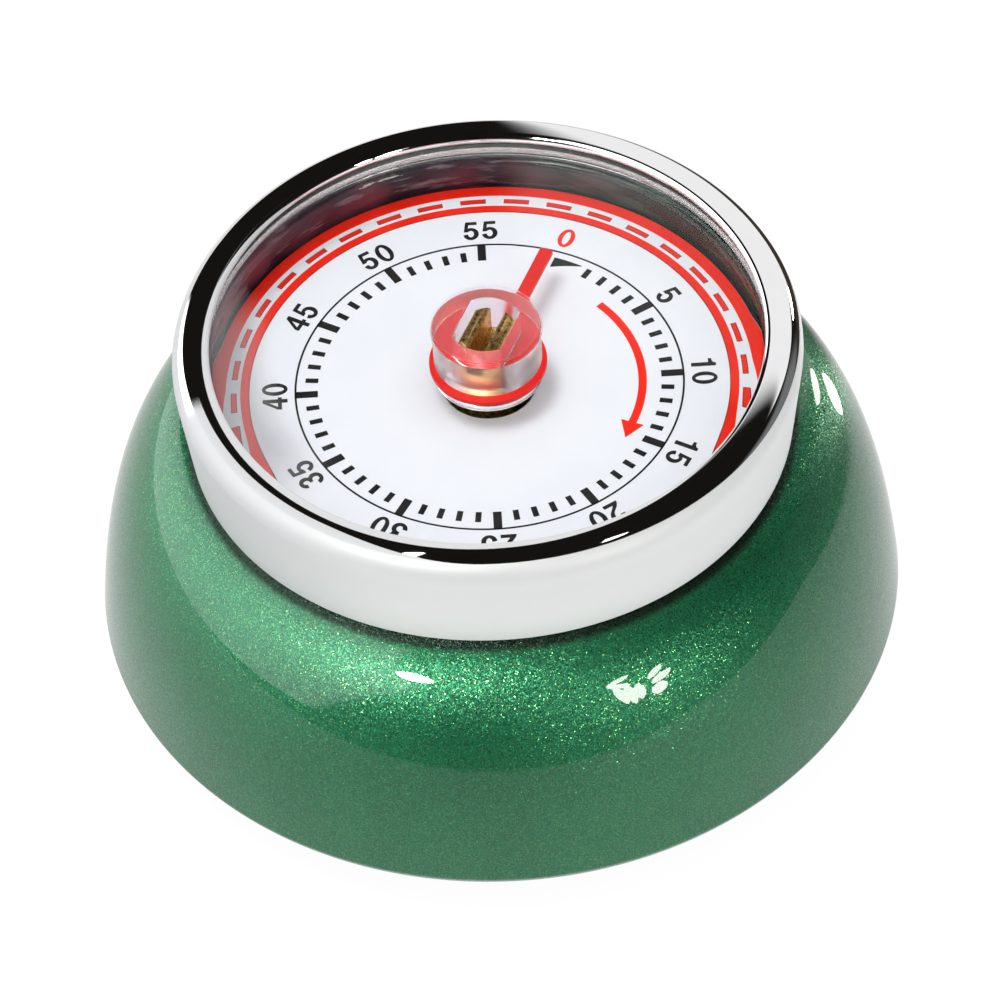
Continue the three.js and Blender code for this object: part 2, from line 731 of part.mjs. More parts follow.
function arborBush() {
  const inner = SPINDLE_R + RUN;
  const outer = inner + BUSH_WALL;
  const low = frontPlateZ - FIT - BUSH_LIP;
  const top = frontPlateTop + BUSH_RISE;
  return turned(
    [
      [inner, low],
      [outer + BUSH_LIP, low],
      [outer + BUSH_LIP, low + BUSH_LIP],
      [outer, low + BUSH_LIP],
      [outer, top],
      [inner, top],
    ],
    FINE,
  );
}

const stopHalfGap = (360 - TRAVEL) / 2; // degrees from the peg's middle to the finger's at both ends
const stopZ = frontPlateTop + BUSH_RISE + RUN;

function stopDisc() {
  const inner = SPINDLE_R + FIT;
  const hub = tube(inner + STOP_HUB_WALL, inner, stopZ, stopZ + STOP_T, FINE);
  const width = 2 * (STOP_RING * Math.sin(stopHalfGap * DEG) - STOP_PEG_R - RUN);
  const root = inner + width / 2;
  return join(hub, strap([root, 0], [STOP_RING + STOP_PEG_R, 0], width, stopZ, STOP_T));
}

// ---------- dial, hand, crystal and bezel ----------
const dial = () =>
  tube(neckInner - FIT, DIAL_HOLE_R, dialTop - DIAL_T, dialTop, LARGE);

const flatHole = () => doubleD(FLAT_R + FIT, FLAT_HALF + FIT, 5);
const handCollar = () => pressed(circle(COLLAR_R, FINE), [flatHole()], collarZ, COLLAR_H);

function hand() {
  const hub = rod(HAND_HUB_R, handZ, handZ + HAND_T, FINE);
  const blade = pressed(
    [
      new THREE.Vector2(0, -HAND_W / 2),
      new THREE.Vector2(HAND_LEN, -HAND_W / 2),
      new THREE.Vector2(HAND_LEN, HAND_W / 2),
      new THREE.Vector2(0, HAND_W / 2),
    ],
    [],
    handZ,
    HAND_T,
  );
  const hole = pressed(flatHole(), [], handZ - 1, HAND_T + 2).rotateZ(-Math.PI / 2);
  return cut(join(hub, blade), hole);
}

function crystal() {
  const fall = (r) => CROWN_SAG * (r / lipR) ** 2;
  const dome = (lift, reach) => {
    const points = [];
    for (let i = 0; i <= 4; i++) {
      const r = (reach * i) / 4;
      points.push([r, crown - lift - fall(r)]);
    }
    return points;
  };
  const inner = crystalR - SKIRT_T;
  const bottom = crystalAtLip - SKIRT_H;
  const under = dome(CRYSTAL_T, inner).filter(([r]) => r > BOSS_R);
  const outline = [[0, bossUnder], [BOSS_R, bossUnder], [BOSS_R, crown - CRYSTAL_T - fall(BOSS_R)], ...under];
  outline.push([inner, bottom], [crystalR, bottom], ...dome(0, crystalR).reverse());
  const hole = pressed(flatHole(), [], bossUnder - 1, crown - bossUnder + 2);
  return cut(turned(outline, LARGE), hole);
}

function bezelRing() {
  const bottom = shoulderZ + BEZEL_LIFT;
  const rollR = bezelR + BEZEL_FLARE - ROLL_R;
  const roll = new THREE.EllipseCurve(
    rollR, rimTop - ROLL_R,
    ROLL_R, ROLL_R,
    -10 * DEG, Math.acos((lipR - rollR) / ROLL_R),
  );
  return turned(
    [
      [bezelInner + EASE, bottom],
      [bezelR - EASE, bottom],
      [bezelR, bottom + EASE],
      ...roll.getPoints(6).map((p) => [p.x, p.y]),
      [lipR, rimTop - LIP_T],
      [bezelInner, rimTop - LIP_T],
      [bezelInner, bottom + EASE],
    ],
    LARGE,
  );
}

// ---------- assembly ----------
const timer = new THREE.Group();
const housing = new THREE.Group();
const spindle = new THREE.Group();
const train = new THREE.Group();
const strike = new THREE.Group();
timer.add(housing, spindle, train, strike);

piece(housing, "body_shell", bodyShell(), greenFlake());
piece(housing, "dial", dial(), print());
piece(housing, "base_plate", basePlate(), steel());
piece(housing, "magnet_cup", magnetCup(), chrome());
piece(housing, "ring_magnet", ringMagnet(), ferrite());
piece(housing, "magnet_screw", screw(POT_H - POT_WALL, nutTop - POT_H + POT_WALL, MAGNET_SCREW_HEAD_R), steel());
piece(housing, "bell_post", bellPost(), brass());
piece(housing, "bell", bell(), steel());
piece(housing, "bell_nut", tube(BELL_NUT_R, hubR, bellTop + FIT, nutTop, 6), steel());
piece(housing, "back_plate", backPlate(), brass());
piece(housing, "front_plate", frontPlate(), brass());
basePostsAt.forEach((place, i) => {
  piece(housing, `base_screw_${i + 1}`, screw(BASE_LIFT, BASE_SCREW_LEN), steel(), place);
  piece(housing, `base_post_${i + 1}`, basePost(), steel(), place);
});
pillarsAt.forEach((place, i) => {
  const length = topFaceUnder - FIT - backPlateZ;
  piece(housing, `movement_screw_${i + 1}`, screw(backPlateZ, length), steel(), place);
  piece(housing, `pillar_${i + 1}`, tube(PILLAR_R, hubR, backPlateTop + FIT, frontPlateZ - FIT), brass(), place);
  const post = tube(PILLAR_R, hubR, frontPlateTop + FIT, topFaceUnder - FIT);
  piece(housing, `housing_post_${i + 1}`, post, steel(), place);
});
piece(housing, "arbor_bush", arborBush(), brass());
const stopPegTurn = HAND_ANGLE + stopHalfGap;
const stopPeg = rod(STOP_PEG_R, frontPlateTop + FIT, stopZ + STOP_T + STOP_PEG_RISE);
piece(housing, "stop_peg", stopPeg, steel(), polar(STOP_RING, stopPegTurn));
piece(housing, "mainspring", mainspring(), blueSteel());
piece(housing, "spring_peg", springPeg(), steel(), springPegAt);
piece(housing, "hammer_screw", hammerScrew(), steel(), hammerAt);

spindle.rotation.z = HAND_ANGLE * DEG;
piece(spindle, "bezel_ring", bezelRing(), chrome());
piece(spindle, "crystal", crystal(), clear(), [0, 0], -Math.PI / 2);
piece(spindle, "hand", hand(), red());
piece(spindle, "hand_collar", handCollar(), chrome(), [0, 0], -Math.PI / 2);
piece(spindle, "main_arbor", mainArbor(), brass(), [0, 0], -Math.PI / 2);
piece(spindle, "main_wheel", mainWheel(), brass(), [0, 0], -HAND_ANGLE * DEG);
piece(spindle, "clutch_washer", clutchWasher(), blueSteel());
piece(spindle, "stop_disc", stopDisc(), steel());
piece(spindle, "strike_cam", strikeCam(), brass(), [0, 0], (NOSE_TURN - HAND_ANGLE) * DEG);

// Each pinion turns a gap, and each wheel a tooth, to the gear it meets at rest.
const gap = (drive, from, at) => direction(at, from) + Math.PI / drive.leaves;
piece(train, "second_pinion", pinion(MAIN, mainWheelZ), steel(), secondAt, gap(MAIN, [0, 0], secondAt));
piece(train, "second_wheel", trainWheel(SECOND, secondWheelZ, 4), brass(), secondAt, direction(secondAt, thirdAt));
piece(train, "third_pinion", pinion(SECOND, secondWheelZ), steel(), thirdAt, gap(SECOND, secondAt, thirdAt));
piece(train, "third_wheel", trainWheel(THIRD, thirdWheelZ, 4), brass(), thirdAt, direction(thirdAt, escapeAt));
piece(train, "escape_pinion", pinion(THIRD, thirdWheelZ), steel(), escapeAt, gap(THIRD, thirdAt, escapeAt));
piece(train, "escape_wheel", escapeWheel(), brass(), escapeAt);
piece(train, "pallet_arbor", arbor(ARBOR_R), steel(), palletAt);
piece(train, "pallet_anchor", palletAnchor(), steel(), palletAt, palletLine);
piece(train, "inertia_bar", inertiaBar(), brass(), palletAt, palletLine);

piece(strike, "hammer_lever", hammerLever(), steel(), hammerAt);
piece(strike, "hammer_weight", hammerWeight(), brass(), hammerHead);

export default timer;
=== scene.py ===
"""Looks of the kitchen timer: fine pieces, materials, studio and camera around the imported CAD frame."""

import json
import math

import bmesh
import bpy
from mathutils import Matrix, Vector


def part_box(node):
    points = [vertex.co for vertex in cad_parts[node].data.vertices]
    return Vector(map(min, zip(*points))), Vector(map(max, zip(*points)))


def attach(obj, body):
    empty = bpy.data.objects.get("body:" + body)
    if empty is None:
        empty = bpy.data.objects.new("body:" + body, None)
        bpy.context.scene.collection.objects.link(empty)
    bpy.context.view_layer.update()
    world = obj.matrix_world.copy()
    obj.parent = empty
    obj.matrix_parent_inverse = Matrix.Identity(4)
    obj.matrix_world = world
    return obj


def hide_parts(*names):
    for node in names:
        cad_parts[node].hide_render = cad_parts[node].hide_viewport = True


MM = 0.001
TURN = 2 * math.pi

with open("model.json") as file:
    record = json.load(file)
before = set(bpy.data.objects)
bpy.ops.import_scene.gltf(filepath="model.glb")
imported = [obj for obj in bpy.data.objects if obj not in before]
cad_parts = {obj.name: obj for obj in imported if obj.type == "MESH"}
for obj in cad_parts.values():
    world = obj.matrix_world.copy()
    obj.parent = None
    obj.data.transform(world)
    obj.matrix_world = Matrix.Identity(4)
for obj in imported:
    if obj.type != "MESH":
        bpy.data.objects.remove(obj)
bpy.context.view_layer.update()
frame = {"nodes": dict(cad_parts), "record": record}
scene = bpy.context.scene


# ---------------------------------------------------------------- sizes, in mm, from the frame


def span(node):
    """(largest radius, lowest z, highest z) of a round node, in mm."""
    low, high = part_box(node)
    return high.x / MM, low.z / MM, high.z / MM


shell_r, _, shell_top = span("body_shell")
dial_r, dial_bottom, dial_top = span("dial")
bezel_r, bezel_bottom, bezel_top = span("bezel_ring")
crystal_r, crystal_bottom, crystal_top = span("crystal")
collar_r, collar_bottom, collar_top = span("hand_collar")
hand_bottom, hand_top = (c.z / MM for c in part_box("hand"))
arbor_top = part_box("main_arbor")[1].z / MM
HAND_AT = math.radians(66)  # at rest the hand points at the dial's 0
SOFT = 35.0  # faces that meet at less than this many degrees are shaded smooth


# ---------------------------------------------------------------- mesh code


def new_object(name, verts, faces, smooth_below=SOFT):
    """A mesh object from points in mm, shaded smooth where its faces meet at less than that angle."""
    mesh = bpy.data.meshes.new(name)
    mesh.from_pydata([(x * MM, y * MM, z * MM) for x, y, z in verts], [], faces)
    mesh.validate()
    mesh.update()
    mesh.shade_smooth()
    mesh.set_sharp_from_angle(angle=math.radians(smooth_below))
    ob = bpy.data.objects.new(name, mesh)
    scene.collection.objects.link(ob)
    return ob


def bezier(points, steps):
    """Points along a Bezier curve of any degree, both ends included."""
    out = []
    for i in range(steps + 1):
        t, row = i / steps, [tuple(p) for p in points]
        while len(row) > 1:
            row = [tuple(a + (b - a) * t for a, b in zip(p, q)) for p, q in zip(row, row[1:])]
        out.append(row[0])
    return out


def arc(cx, cy, rx, ry, start, end, steps):
    """Points along an ellipse's arc, angles in degrees, both ends included."""
    angles = [math.radians(start + (end - start) * i / steps) for i in range(steps + 1)]
    return [(cx + rx * math.cos(a), cy + ry * math.sin(a)) for a in angles]


def lathe(name, profile, segments=256, smooth_below=SOFT):
    """A closed outline of (radius, z) turned round the spindle. It may be a function of the angle."""
    rings = []
    for i in range(segments):
        angle = TURN * i / segments
        points = profile(angle) if callable(profile) else profile
        rings.append([(r * math.cos(angle), r * math.sin(angle), z) for r, z in points])
    count = len(rings[0])
    verts = [p for ring in rings for p in ring]
    faces = []
    for i in range(segments):
        j = (i + 1) % segments
        for k in range(count):
            m = (k + 1) % count
            faces.append((i * count + k, j * count + k, j * count + m, i * count + m))
    return clean(new_object(name, verts, faces, smooth_below), smooth_below)


def clean(ob, smooth_below=SOFT):
    """Merges the points on the axis, drops empty faces and turns every face outwards."""
    b = bmesh.new()
    b.from_mesh(ob.data)
    bmesh.ops.remove_doubles(b, verts=b.verts, dist=1e-7)
    bmesh.ops.dissolve_degenerate(b, dist=1e-8, edges=b.edges)
    bmesh.ops.recalc_face_normals(b, faces=b.faces)
    b.to_mesh(ob.data)
    b.free()
    ob.data.shade_smooth()
    ob.data.set_sharp_from_angle(angle=math.radians(smooth_below))
    return ob


def plate(name, outlines, z_low, z_high, smooth_below=SOFT):
    """Closed flat outlines in mm raised from z_low to z_high. An outline inside another is its hole."""
    curve = bpy.data.curves.new(name, "CURVE")
    curve.dimensions = "2D"
    curve.fill_mode = "BOTH"
    curve.extrude = (z_high - z_low) / 2 * MM
    for outline in outlines:
        spline = curve.splines.new("POLY")
        spline.points.add(len(outline) - 1)
        for point, (x, y) in zip(spline.points, outline):
            point.co = (x * MM, y * MM, 0, 1)
        spline.use_cyclic_u = True
    source = bpy.data.objects.new(name + "_source", curve)
    scene.collection.objects.link(source)
    bpy.context.view_layer.update()
    depsgraph = bpy.context.evaluated_depsgraph_get()
    mesh = bpy.data.meshes.new_from_object(source.evaluated_get(depsgraph))
    bpy.data.objects.remove(source)
    bpy.data.curves.remove(curve)
    mesh.name = name
    mesh.transform(Matrix.Translation((0, 0, (z_low + z_high) / 2 * MM)))
    ob = bpy.data.objects.new(name, mesh)
    scene.collection.objects.link(ob)
    return clean(ob, smooth_below)


def around(outline, angle, radius=0.0):
    """An outline with its foot towards the spindle, turned to that angle and moved out to that radius."""
    c, s = math.cos(angle - math.pi / 2), math.sin(angle - math.pi / 2)
    return [(x * c - (y + radius) * s, x * s + (y + radius) * c) for x, y in outline]


def steps(start, end, count):
    """Evenly spaced values from start to end, both included."""
    return [start + (end - start) * i / count for i in range(count + 1)]


def polar(radius, degrees):
    """A point at that radius and angle."""
    return radius * math.cos(math.radians(degrees)), radius * math.sin(math.radians(degrees))


def ring(r_out, r_in, count=288):
    """A full ring: its outer circle and its hole."""
    return [arc(0, 0, r_out, r_out, 0, 360, count)[:-1], arc(0, 0, r_in, r_in, 360, 0, count)[:-1]]


def sector(r_in, r_out, start, end, step=1.0):
    """A band's outline between two radii and two angles in degrees."""
    count = max(2, round(abs(end - start) / step))
    outer = arc(0, 0, r_out, r_out, start, end, count)
    inner = arc(0, 0, r_in, r_in, end, start, count)
    return outer + inner


def merged(name, parts):
    """One object made of several, which are removed."""
    b = bmesh.new()
    for part in parts:
        b.from_mesh(part.data)
        bpy.data.objects.remove(part)
    mesh = bpy.data.meshes.new(name)
    b.to_mesh(mesh)
    b.free()
    ob = bpy.data.objects.new(name, mesh)
    scene.collection.objects.link(ob)
    mesh.shade_smooth()
    mesh.set_sharp_from_angle(angle=math.radians(SOFT))
    return ob


def direction(azimuth, elevation):
    """A unit vector from two angles in degrees."""
    a, e = math.radians(azimuth), math.radians(elevation)
    return Vector((math.cos(e) * math.cos(a), math.cos(e) * math.sin(a), math.sin(e)))


# ---------------------------------------------------------------- materials


def shader(name):
    """A new node material: its tree and its Principled shader."""
    material = bpy.data.materials.new(name)
    material.use_nodes = True
    tree = material.node_tree
    tree.nodes.clear()
    output = tree.nodes.new("ShaderNodeOutputMaterial")
    principled = tree.nodes.new("ShaderNodeBsdfPrincipled")
    tree.links.new(principled.outputs[0], output.inputs[0])
    return material, tree, principled


def node(tree, kind, inputs=None, **settings):
    """A node with its settings made and its inputs linked or set."""
    made = tree.nodes.new("ShaderNode" + kind)
    for key, value in settings.items():
        setattr(made, key, value)
    for key, value in (inputs or {}).items():
        if isinstance(value, bpy.types.NodeSocket):
            tree.links.new(value, made.inputs[key])
        else:
            made.inputs[key].default_value = value
    return made


def put(tree, target, **inputs):
    """Links or sets a shader's inputs, named with _ for a space."""
    for key, value in inputs.items():
        socket = target.inputs[key.replace("_", " ")]
        if isinstance(value, bpy.types.NodeSocket):
            tree.links.new(value, socket)
        else:
            socket.default_value = value


def maths(tree, operation, a, b=0.0, c=0.0):
    """A Math node's output."""
    return node(tree, "Math", {0: a, 1: b, 2: c}, operation=operation).outputs[0]


def ramp(tree, value, low, high, to_low=0.0, to_high=1.0):
    """A smooth step of value from low to high."""
    inputs = {"Value": value, "From Min": low, "From Max": high, "To Min": to_low, "To Max": to_high}
    return node(tree, "MapRange", inputs, interpolation_type="SMOOTHSTEP").outputs[0]


def swing(tree, angle, low, high, to_low=0.0, to_high=1.0):
    """A smooth step of an angle in radians, between two given in degrees."""
    return ramp(tree, angle, math.radians(low), math.radians(high), to_low, to_high)


def product(tree, *values):
    """Several values multiplied."""
    total = values[0]
    for value in values[1:]:
        total = maths(tree, "MULTIPLY", total, value)
    return total


def mixed(tree, factor, a, b):
    """Colour a where factor is 0 and b where it is 1."""
    made = node(tree, "Mix", {0: factor}, data_type="RGBA")
    for socket, value in ((made.inputs[6], a), (made.inputs[7], b)):
        if isinstance(value, bpy.types.NodeSocket):
            tree.links.new(value, socket)
        else:
            socket.default_value = (*value, 1)
    return made.outputs[2]


def place(tree):
    """The point being shaded, in the object's own metres."""
    return node(tree, "TexCoord").outputs["Object"]


def from_spindle(tree, x, y):
    """Distance from the spindle's axis, in metres."""
    flat = node(tree, "CombineXYZ", {0: x, 1: y})
    return node(tree, "VectorMath", {0: flat.outputs[0]}, operation="LENGTH").outputs["Value"]


def blended(tree, factor, a, b):
    """Shader a where factor is 0 and b where it is 1."""
    return node(tree, "MixShader", {0: factor, 1: a.outputs[0], 2: b.outputs[0]})


def glow(tree, colour, strength):
    """A shader that only shines."""
    return node(tree, "Emission", {0: (*colour, 1), 1: strength})


def show(tree, last):
    """Makes that shader the material's last one."""
    tree.links.new(last.outputs[0], tree.nodes["Material Output"].inputs[0])


def noise(tree, at, scale, detail=3.0, rough=0.5):
    """Fine grain from 0 to 1."""
    inputs = {"Vector": at, "Scale": scale, "Detail": detail, "Roughness": rough}
    return node(tree, "TexNoise", inputs).outputs[0]


def bumped(tree, height, distance):
    """A normal raised by height, over that distance in metres."""
    return node(tree, "Bump", {"Height": height, "Distance": distance, "Strength": 1.0}).outputs[0]


def paint():
    """Deep green metallic paint: fine flakes at random tilts under a clear, glossy coat.

    Under the bezel it turns dark and dull: the dark is painted shade."""
    flake_scale, flake_tilt, patch_scale = 13000.0, 0.45, 160.0
    painted_shade_r, shade_end_r = 26.0 * MM, 26.7 * MM
    material, tree, bsdf = shader("flake_paint")
    at = place(tree)
    x, y, _ = node(tree, "SeparateXYZ", {0: at}).outputs
    flakes = node(tree, "TexVoronoi", {"Vector": at, "Scale": flake_scale})
    dice = node(tree, "SeparateColor", {0: flakes.outputs["Color"]}).outputs
    shade = maths(tree, "FRACT", maths(tree, "MULTIPLY", dice[0], 17.3))
    pick = maths(tree, "FRACT", maths(tree, "MULTIPLY", dice[1], 13.7))
    tilt = node(tree, "VectorMath", {0: flakes.outputs["Color"], 1: (0.5, 0.5, 0.5)}, operation="SUBTRACT")
    tilt = node(tree, "VectorMath", {0: tilt.outputs[0], "Scale": flake_tilt}, operation="SCALE")
    facing = node(tree, "NewGeometry").outputs["Normal"]
    normal = node(tree, "VectorMath", {0: facing, 1: tilt.outputs[0]}, operation="ADD")
    normal = node(tree, "VectorMath", {0: normal.outputs[0]}, operation="NORMALIZE")
    patch = ramp(tree, noise(tree, at, patch_scale), 0.3, 0.7)
    cloud = mixed(tree, patch, (0.95, 0.95, 0.95), (1.05, 1.05, 1.05))
    green = mixed(tree, shade, (0.0, 0.094, 0.034), (0.002, 0.215, 0.088))
    gold = ramp(tree, pick, 0.84, 0.93)
    green = mixed(tree, gold, green, (0.11, 0.29, 0.10))
    green = node(tree, "VectorMath", {0: green, 1: cloud}, operation="MULTIPLY").outputs[0]
    radius = from_spindle(tree, x, y)
    # painted shade: the paint turns near black under the bezel's edge, where shade falls
    green = mixed(tree, ramp(tree, radius, painted_shade_r, shade_end_r), (0.0, 0.025, 0.010), green)
    put(tree, bsdf, Base_Color=green, Metallic=maths(tree, "MULTIPLY_ADD", gold, 0.5, 0.5))
    put(tree, bsdf, Roughness=maths(tree, "MULTIPLY_ADD", gold, -0.14, 0.38), Normal=normal.outputs[0])
    put(tree, bsdf, Coat_Weight=ramp(tree, radius, painted_shade_r, shade_end_r, 0.1, 1.0))
    put(tree, bsdf, Coat_Roughness=0.02, Coat_IOR=1.43)
    return material


def chrome():
    """The bezel's chrome, polished, with a painted reflection on the wall, the lip and the rim's front left:
    a pale, dull colour there.
    """
    wall_z, wall_slant = 33.48 * MM, -0.0235
    lip_r, lip_lean_x, lip_lean_y = 23.72 * MM, -0.0143, -0.0246
    brow_r, brow_end_r = 24.95 * MM, 25.8 * MM
    material, tree, bsdf = shader("bezel_chrome")
    at = place(tree)
    x, y, z = node(tree, "SeparateXYZ", {0: at}).outputs
    radius = from_spindle(tree, x, y)

    def past(value, limit, soft):
        """1 where value is over limit, or under it where soft is negative."""
        return ramp(tree, maths(tree, "SUBTRACT", value, limit), -soft, soft)

    line = maths(tree, "MULTIPLY_ADD", y, wall_slant, wall_z)
    wall = product(tree, past(z, line, -0.04 * MM), ramp(tree, radius, 24.9 * MM, 25.0 * MM))
    reach = maths(tree, "MULTIPLY_ADD", y, lip_lean_y, lip_r)
    reach = maths(tree, "MULTIPLY_ADD", x, lip_lean_x, reach)
    lip = past(radius, reach, -0.05 * MM)
    angle = maths(tree, "ARCTAN2", y, x)
    edge = swing(tree, angle, -125, -95, brow_r, brow_end_r)
    brow_left, brow_right = swing(tree, angle, -168, -163), swing(tree, angle, -92, -96)
    brow = product(tree, past(radius, edge, 0.05 * MM), brow_left, brow_right)
    # painted reflection: these zones get a pale, dull colour in place of the mirror's reflection
    painted_reflection_mask = maths(tree, "MAXIMUM", maths(tree, "MAXIMUM", wall, lip), brow)
    drag = node(tree, "Mapping", {"Vector": at, "Scale": (1.0, 1.0, 9.0)})
    grain = noise(tree, drag.outputs[0], 500.0)
    bright = mixed(tree, grain, (0.90, 0.90, 0.905), (0.95, 0.95, 0.95))
    # painted light low on the wall, where the body below shades it, and painted shade at the top and the
    # left, where the key lamp lights most
    painted_reflection_colour = mixed(tree, ramp(tree, z, 25.0 * MM, 32.0 * MM), (0.95, 0.96, 0.96), (0.88, 0.885, 0.885))
    painted_reflection_colour = mixed(tree, ramp(tree, z, 32.0 * MM, 34.0 * MM), painted_reflection_colour, (0.68, 0.69, 0.69))
    painted_reflection_colour = mixed(tree, ramp(tree, x, -6.0 * MM, -26.0 * MM), painted_reflection_colour, (0.66, 0.665, 0.68))
    painted_reflection_colour = mixed(tree, maths(tree, "MULTIPLY", grain, 0.06), painted_reflection_colour, (1.0, 1.0, 1.0))
    put(tree, bsdf, Base_Color=mixed(tree, painted_reflection_mask, bright, painted_reflection_colour), Specular_IOR_Level=0.25)
    put(tree, bsdf, Metallic=maths(tree, "MULTIPLY_ADD", painted_reflection_mask, -0.88, 1.0))
    put(tree, bsdf, Roughness=maths(tree, "MULTIPLY_ADD", painted_reflection_mask, 0.5, 0.03))
    return material


def clear():
    """Clear plastic. A painted reflection clouds the cap's left edge pale grey, and its boss is tinted
    violet and a little clouded. Lamps shine straight through.
    """
    side_in, side_out = (4.50 * MM, 4.56 * MM), (4.72 * MM, 4.64 * MM)
    sheen_at, sheen_half, sheen_full = 14, 36, 14
    material, tree, bsdf = shader("clear_plastic")
    at = place(tree)
    x, y, _ = node(tree, "SeparateXYZ", {0: at}).outputs
    radius = from_spindle(tree, x, y)
    side = product(tree, ramp(tree, radius, *side_in), ramp(tree, radius, *side_out))
    smear = ramp(tree, noise(tree, at, 900.0, 4.0), 0.45, 0.8, 0.0, 0.02)
    smear = maths(tree, "MULTIPLY_ADD", side, 0.30, smear)
    # painted reflection: a pale grey sheen over the cap's left edge, standing for the bright left card
    # mirrored there
    from_left = maths(tree, "ARCTAN2", maths(tree, "MULTIPLY", y, -1.0), maths(tree, "MULTIPLY", x, -1.0))
    away = maths(tree, "ABSOLUTE", maths(tree, "SUBTRACT", from_left, math.radians(sheen_at)))
    painted_sheen = product(tree, swing(tree, away, sheen_half, sheen_full), ramp(tree, radius, 17.5 * MM, 21.5 * MM))
    boss = ramp(tree, radius, 4.75 * MM, 4.55 * MM)
    sheen_and_cloud = maths(tree, "MULTIPLY_ADD", painted_sheen, 0.13, maths(tree, "MULTIPLY", boss, 0.05))
    colour = mixed(tree, painted_sheen, (0.97, 0.975, 0.975), (0.60, 0.60, 0.61))
    colour = mixed(tree, boss, colour, (0.86, 0.80, 0.87))
    put(tree, bsdf, Base_Color=colour, Roughness=smear, IOR=1.49)
    put(tree, bsdf, Transmission_Weight=maths(tree, "SUBTRACT", 1.0, sheen_and_cloud))
    put(tree, bsdf, Specular_Tint=(0.02, 0.02, 0.02, 1))
    unseen = node(tree, "BsdfTransparent", {0: (1, 1, 1, 1)})
    path = node(tree, "LightPath")
    lamp_ray = maths(tree, "MAXIMUM", path.outputs["Is Shadow Ray"], path.outputs["Is Diffuse Ray"])
    show(tree, blended(tree, lamp_ray, bsdf, unseen))
    return material


def enamel(name, colour, other, roughness, coat=0.0):
    """Printed ink or plain enamel, with a faint unevenness."""
    material, tree, bsdf = shader(name)
    at = place(tree)
    grain = noise(tree, at, 300.0, 4.0)
    put(tree, bsdf, Base_Color=mixed(tree, ramp(tree, grain, 0.35, 0.65), colour, other))
    put(tree, bsdf, Roughness=ramp(tree, grain, 0.3, 0.7, roughness - 0.04, roughness + 0.04))
    put(tree, bsdf, Coat_Weight=coat, Coat_Roughness=0.03, Specular_IOR_Level=0.15)
    return material


def metal(name, colour, other, roughness, grain_scale=900.0, depth=0.0):
    """Bare metal with fine grain in its colour, gloss and surface."""
    material, tree, bsdf = shader(name)
    at = place(tree)
    grain = noise(tree, at, grain_scale, 4.0)
    put(tree, bsdf, Base_Color=mixed(tree, ramp(tree, grain, 0.3, 0.7), colour, other), Metallic=1.0)
    put(tree, bsdf, Roughness=ramp(tree, grain, 0.3, 0.7, roughness * 0.8, roughness * 1.25))
    if depth:
        put(tree, bsdf, Normal=bumped(tree, grain, depth))
    return material


def inner_wall():
    """Inside of the neck: dark, plum at the left and green at the right, with painted reflections: pale
    level streaks, pink patches and a pale band at the far left.
    """
    material, tree, bsdf = shader("inner_wall")
    at = place(tree)
    x = node(tree, "SeparateXYZ", {0: at}).outputs[0]
    level = node(tree, "Mapping", {"Vector": at, "Scale": (1.0, 1.0, 7.0)})
    streak = noise(tree, level.outputs[0], 130.0, 5.0, 0.6)
    patch = noise(tree, at, 90.0, 2.0)
    side = ramp(tree, x, 1.0 * MM, 9.0 * MM)
    dark = mixed(tree, side, (0.028, 0.022, 0.034), (0.008, 0.030, 0.018))
    painted_reflection_colour = mixed(tree, side, (0.30, 0.28, 0.32), (0.06, 0.11, 0.085))
    painted_red_reflection = mixed(tree, side, (0.24, 0.06, 0.085), (0.09, 0.055, 0.06))
    # painted reflection: pale level streaks and pink patches stand for the clear skirt's mirrored glints and
    # red ring
    colour = mixed(tree, ramp(tree, streak, 0.50, 0.72), dark, painted_reflection_colour)
    colour = mixed(tree, maths(tree, "MULTIPLY", ramp(tree, patch, 0.48, 0.66), 0.7), colour, painted_red_reflection)
    # painted reflection: a pale band at the far left, where the dome mirrors something bright
    colour = mixed(tree, ramp(tree, x, -19.5 * MM, -23.5 * MM, 0.0, 0.7), colour, (0.36, 0.35, 0.38))
    put(tree, bsdf, Base_Color=colour, Metallic=0.35, Roughness=ramp(tree, streak, 0.3, 0.7, 0.12, 0.34))
    put(tree, bsdf, Normal=bumped(tree, streak, 0.0002))
    return material


PAINT = paint()
INNER = inner_wall()
CHROME = chrome()
CLEAR = clear()
DIAL = enamel("dial_white", (0.835, 0.865, 0.92), (0.85, 0.88, 0.93), 0.38)
BLACK = enamel("ink_black", (0.012, 0.012, 0.014), (0.018, 0.018, 0.02), 0.45)
RED_INK = enamel("ink_red", (0.88, 0.018, 0.004), (0.92, 0.024, 0.008), 0.42)
DARK_RED = enamel("ink_dark_red", (0.20, 0.012, 0.012), (0.24, 0.016, 0.014), 0.45)
RED = enamel("red_hand", (0.72, 0.012, 0.010), (0.76, 0.018, 0.014), 0.35, 0.1)
BRASS = metal("brass", (0.60, 0.40, 0.13), (0.72, 0.50, 0.19), 0.24)
STEEL = metal("steel", (0.52, 0.53, 0.55), (0.66, 0.67, 0.69), 0.26)
BLUE_STEEL = metal("spring_steel", (0.10, 0.13, 0.22), (0.16, 0.19, 0.29), 0.28)
BRIGHT = metal("bright_steel", (0.72, 0.73, 0.75), (0.86, 0.86, 0.87), 0.12)
GOLD = metal("arbor_brass", (0.58, 0.33, 0.09), (0.84, 0.58, 0.24), 0.30, 3500.0, 0.00003)
FERRITE = metal("ferrite", (0.030, 0.030, 0.033), (0.055, 0.055, 0.060), 0.6, 2500.0, 0.00004)


# ---------------------------------------------------------------- pieces, in mm

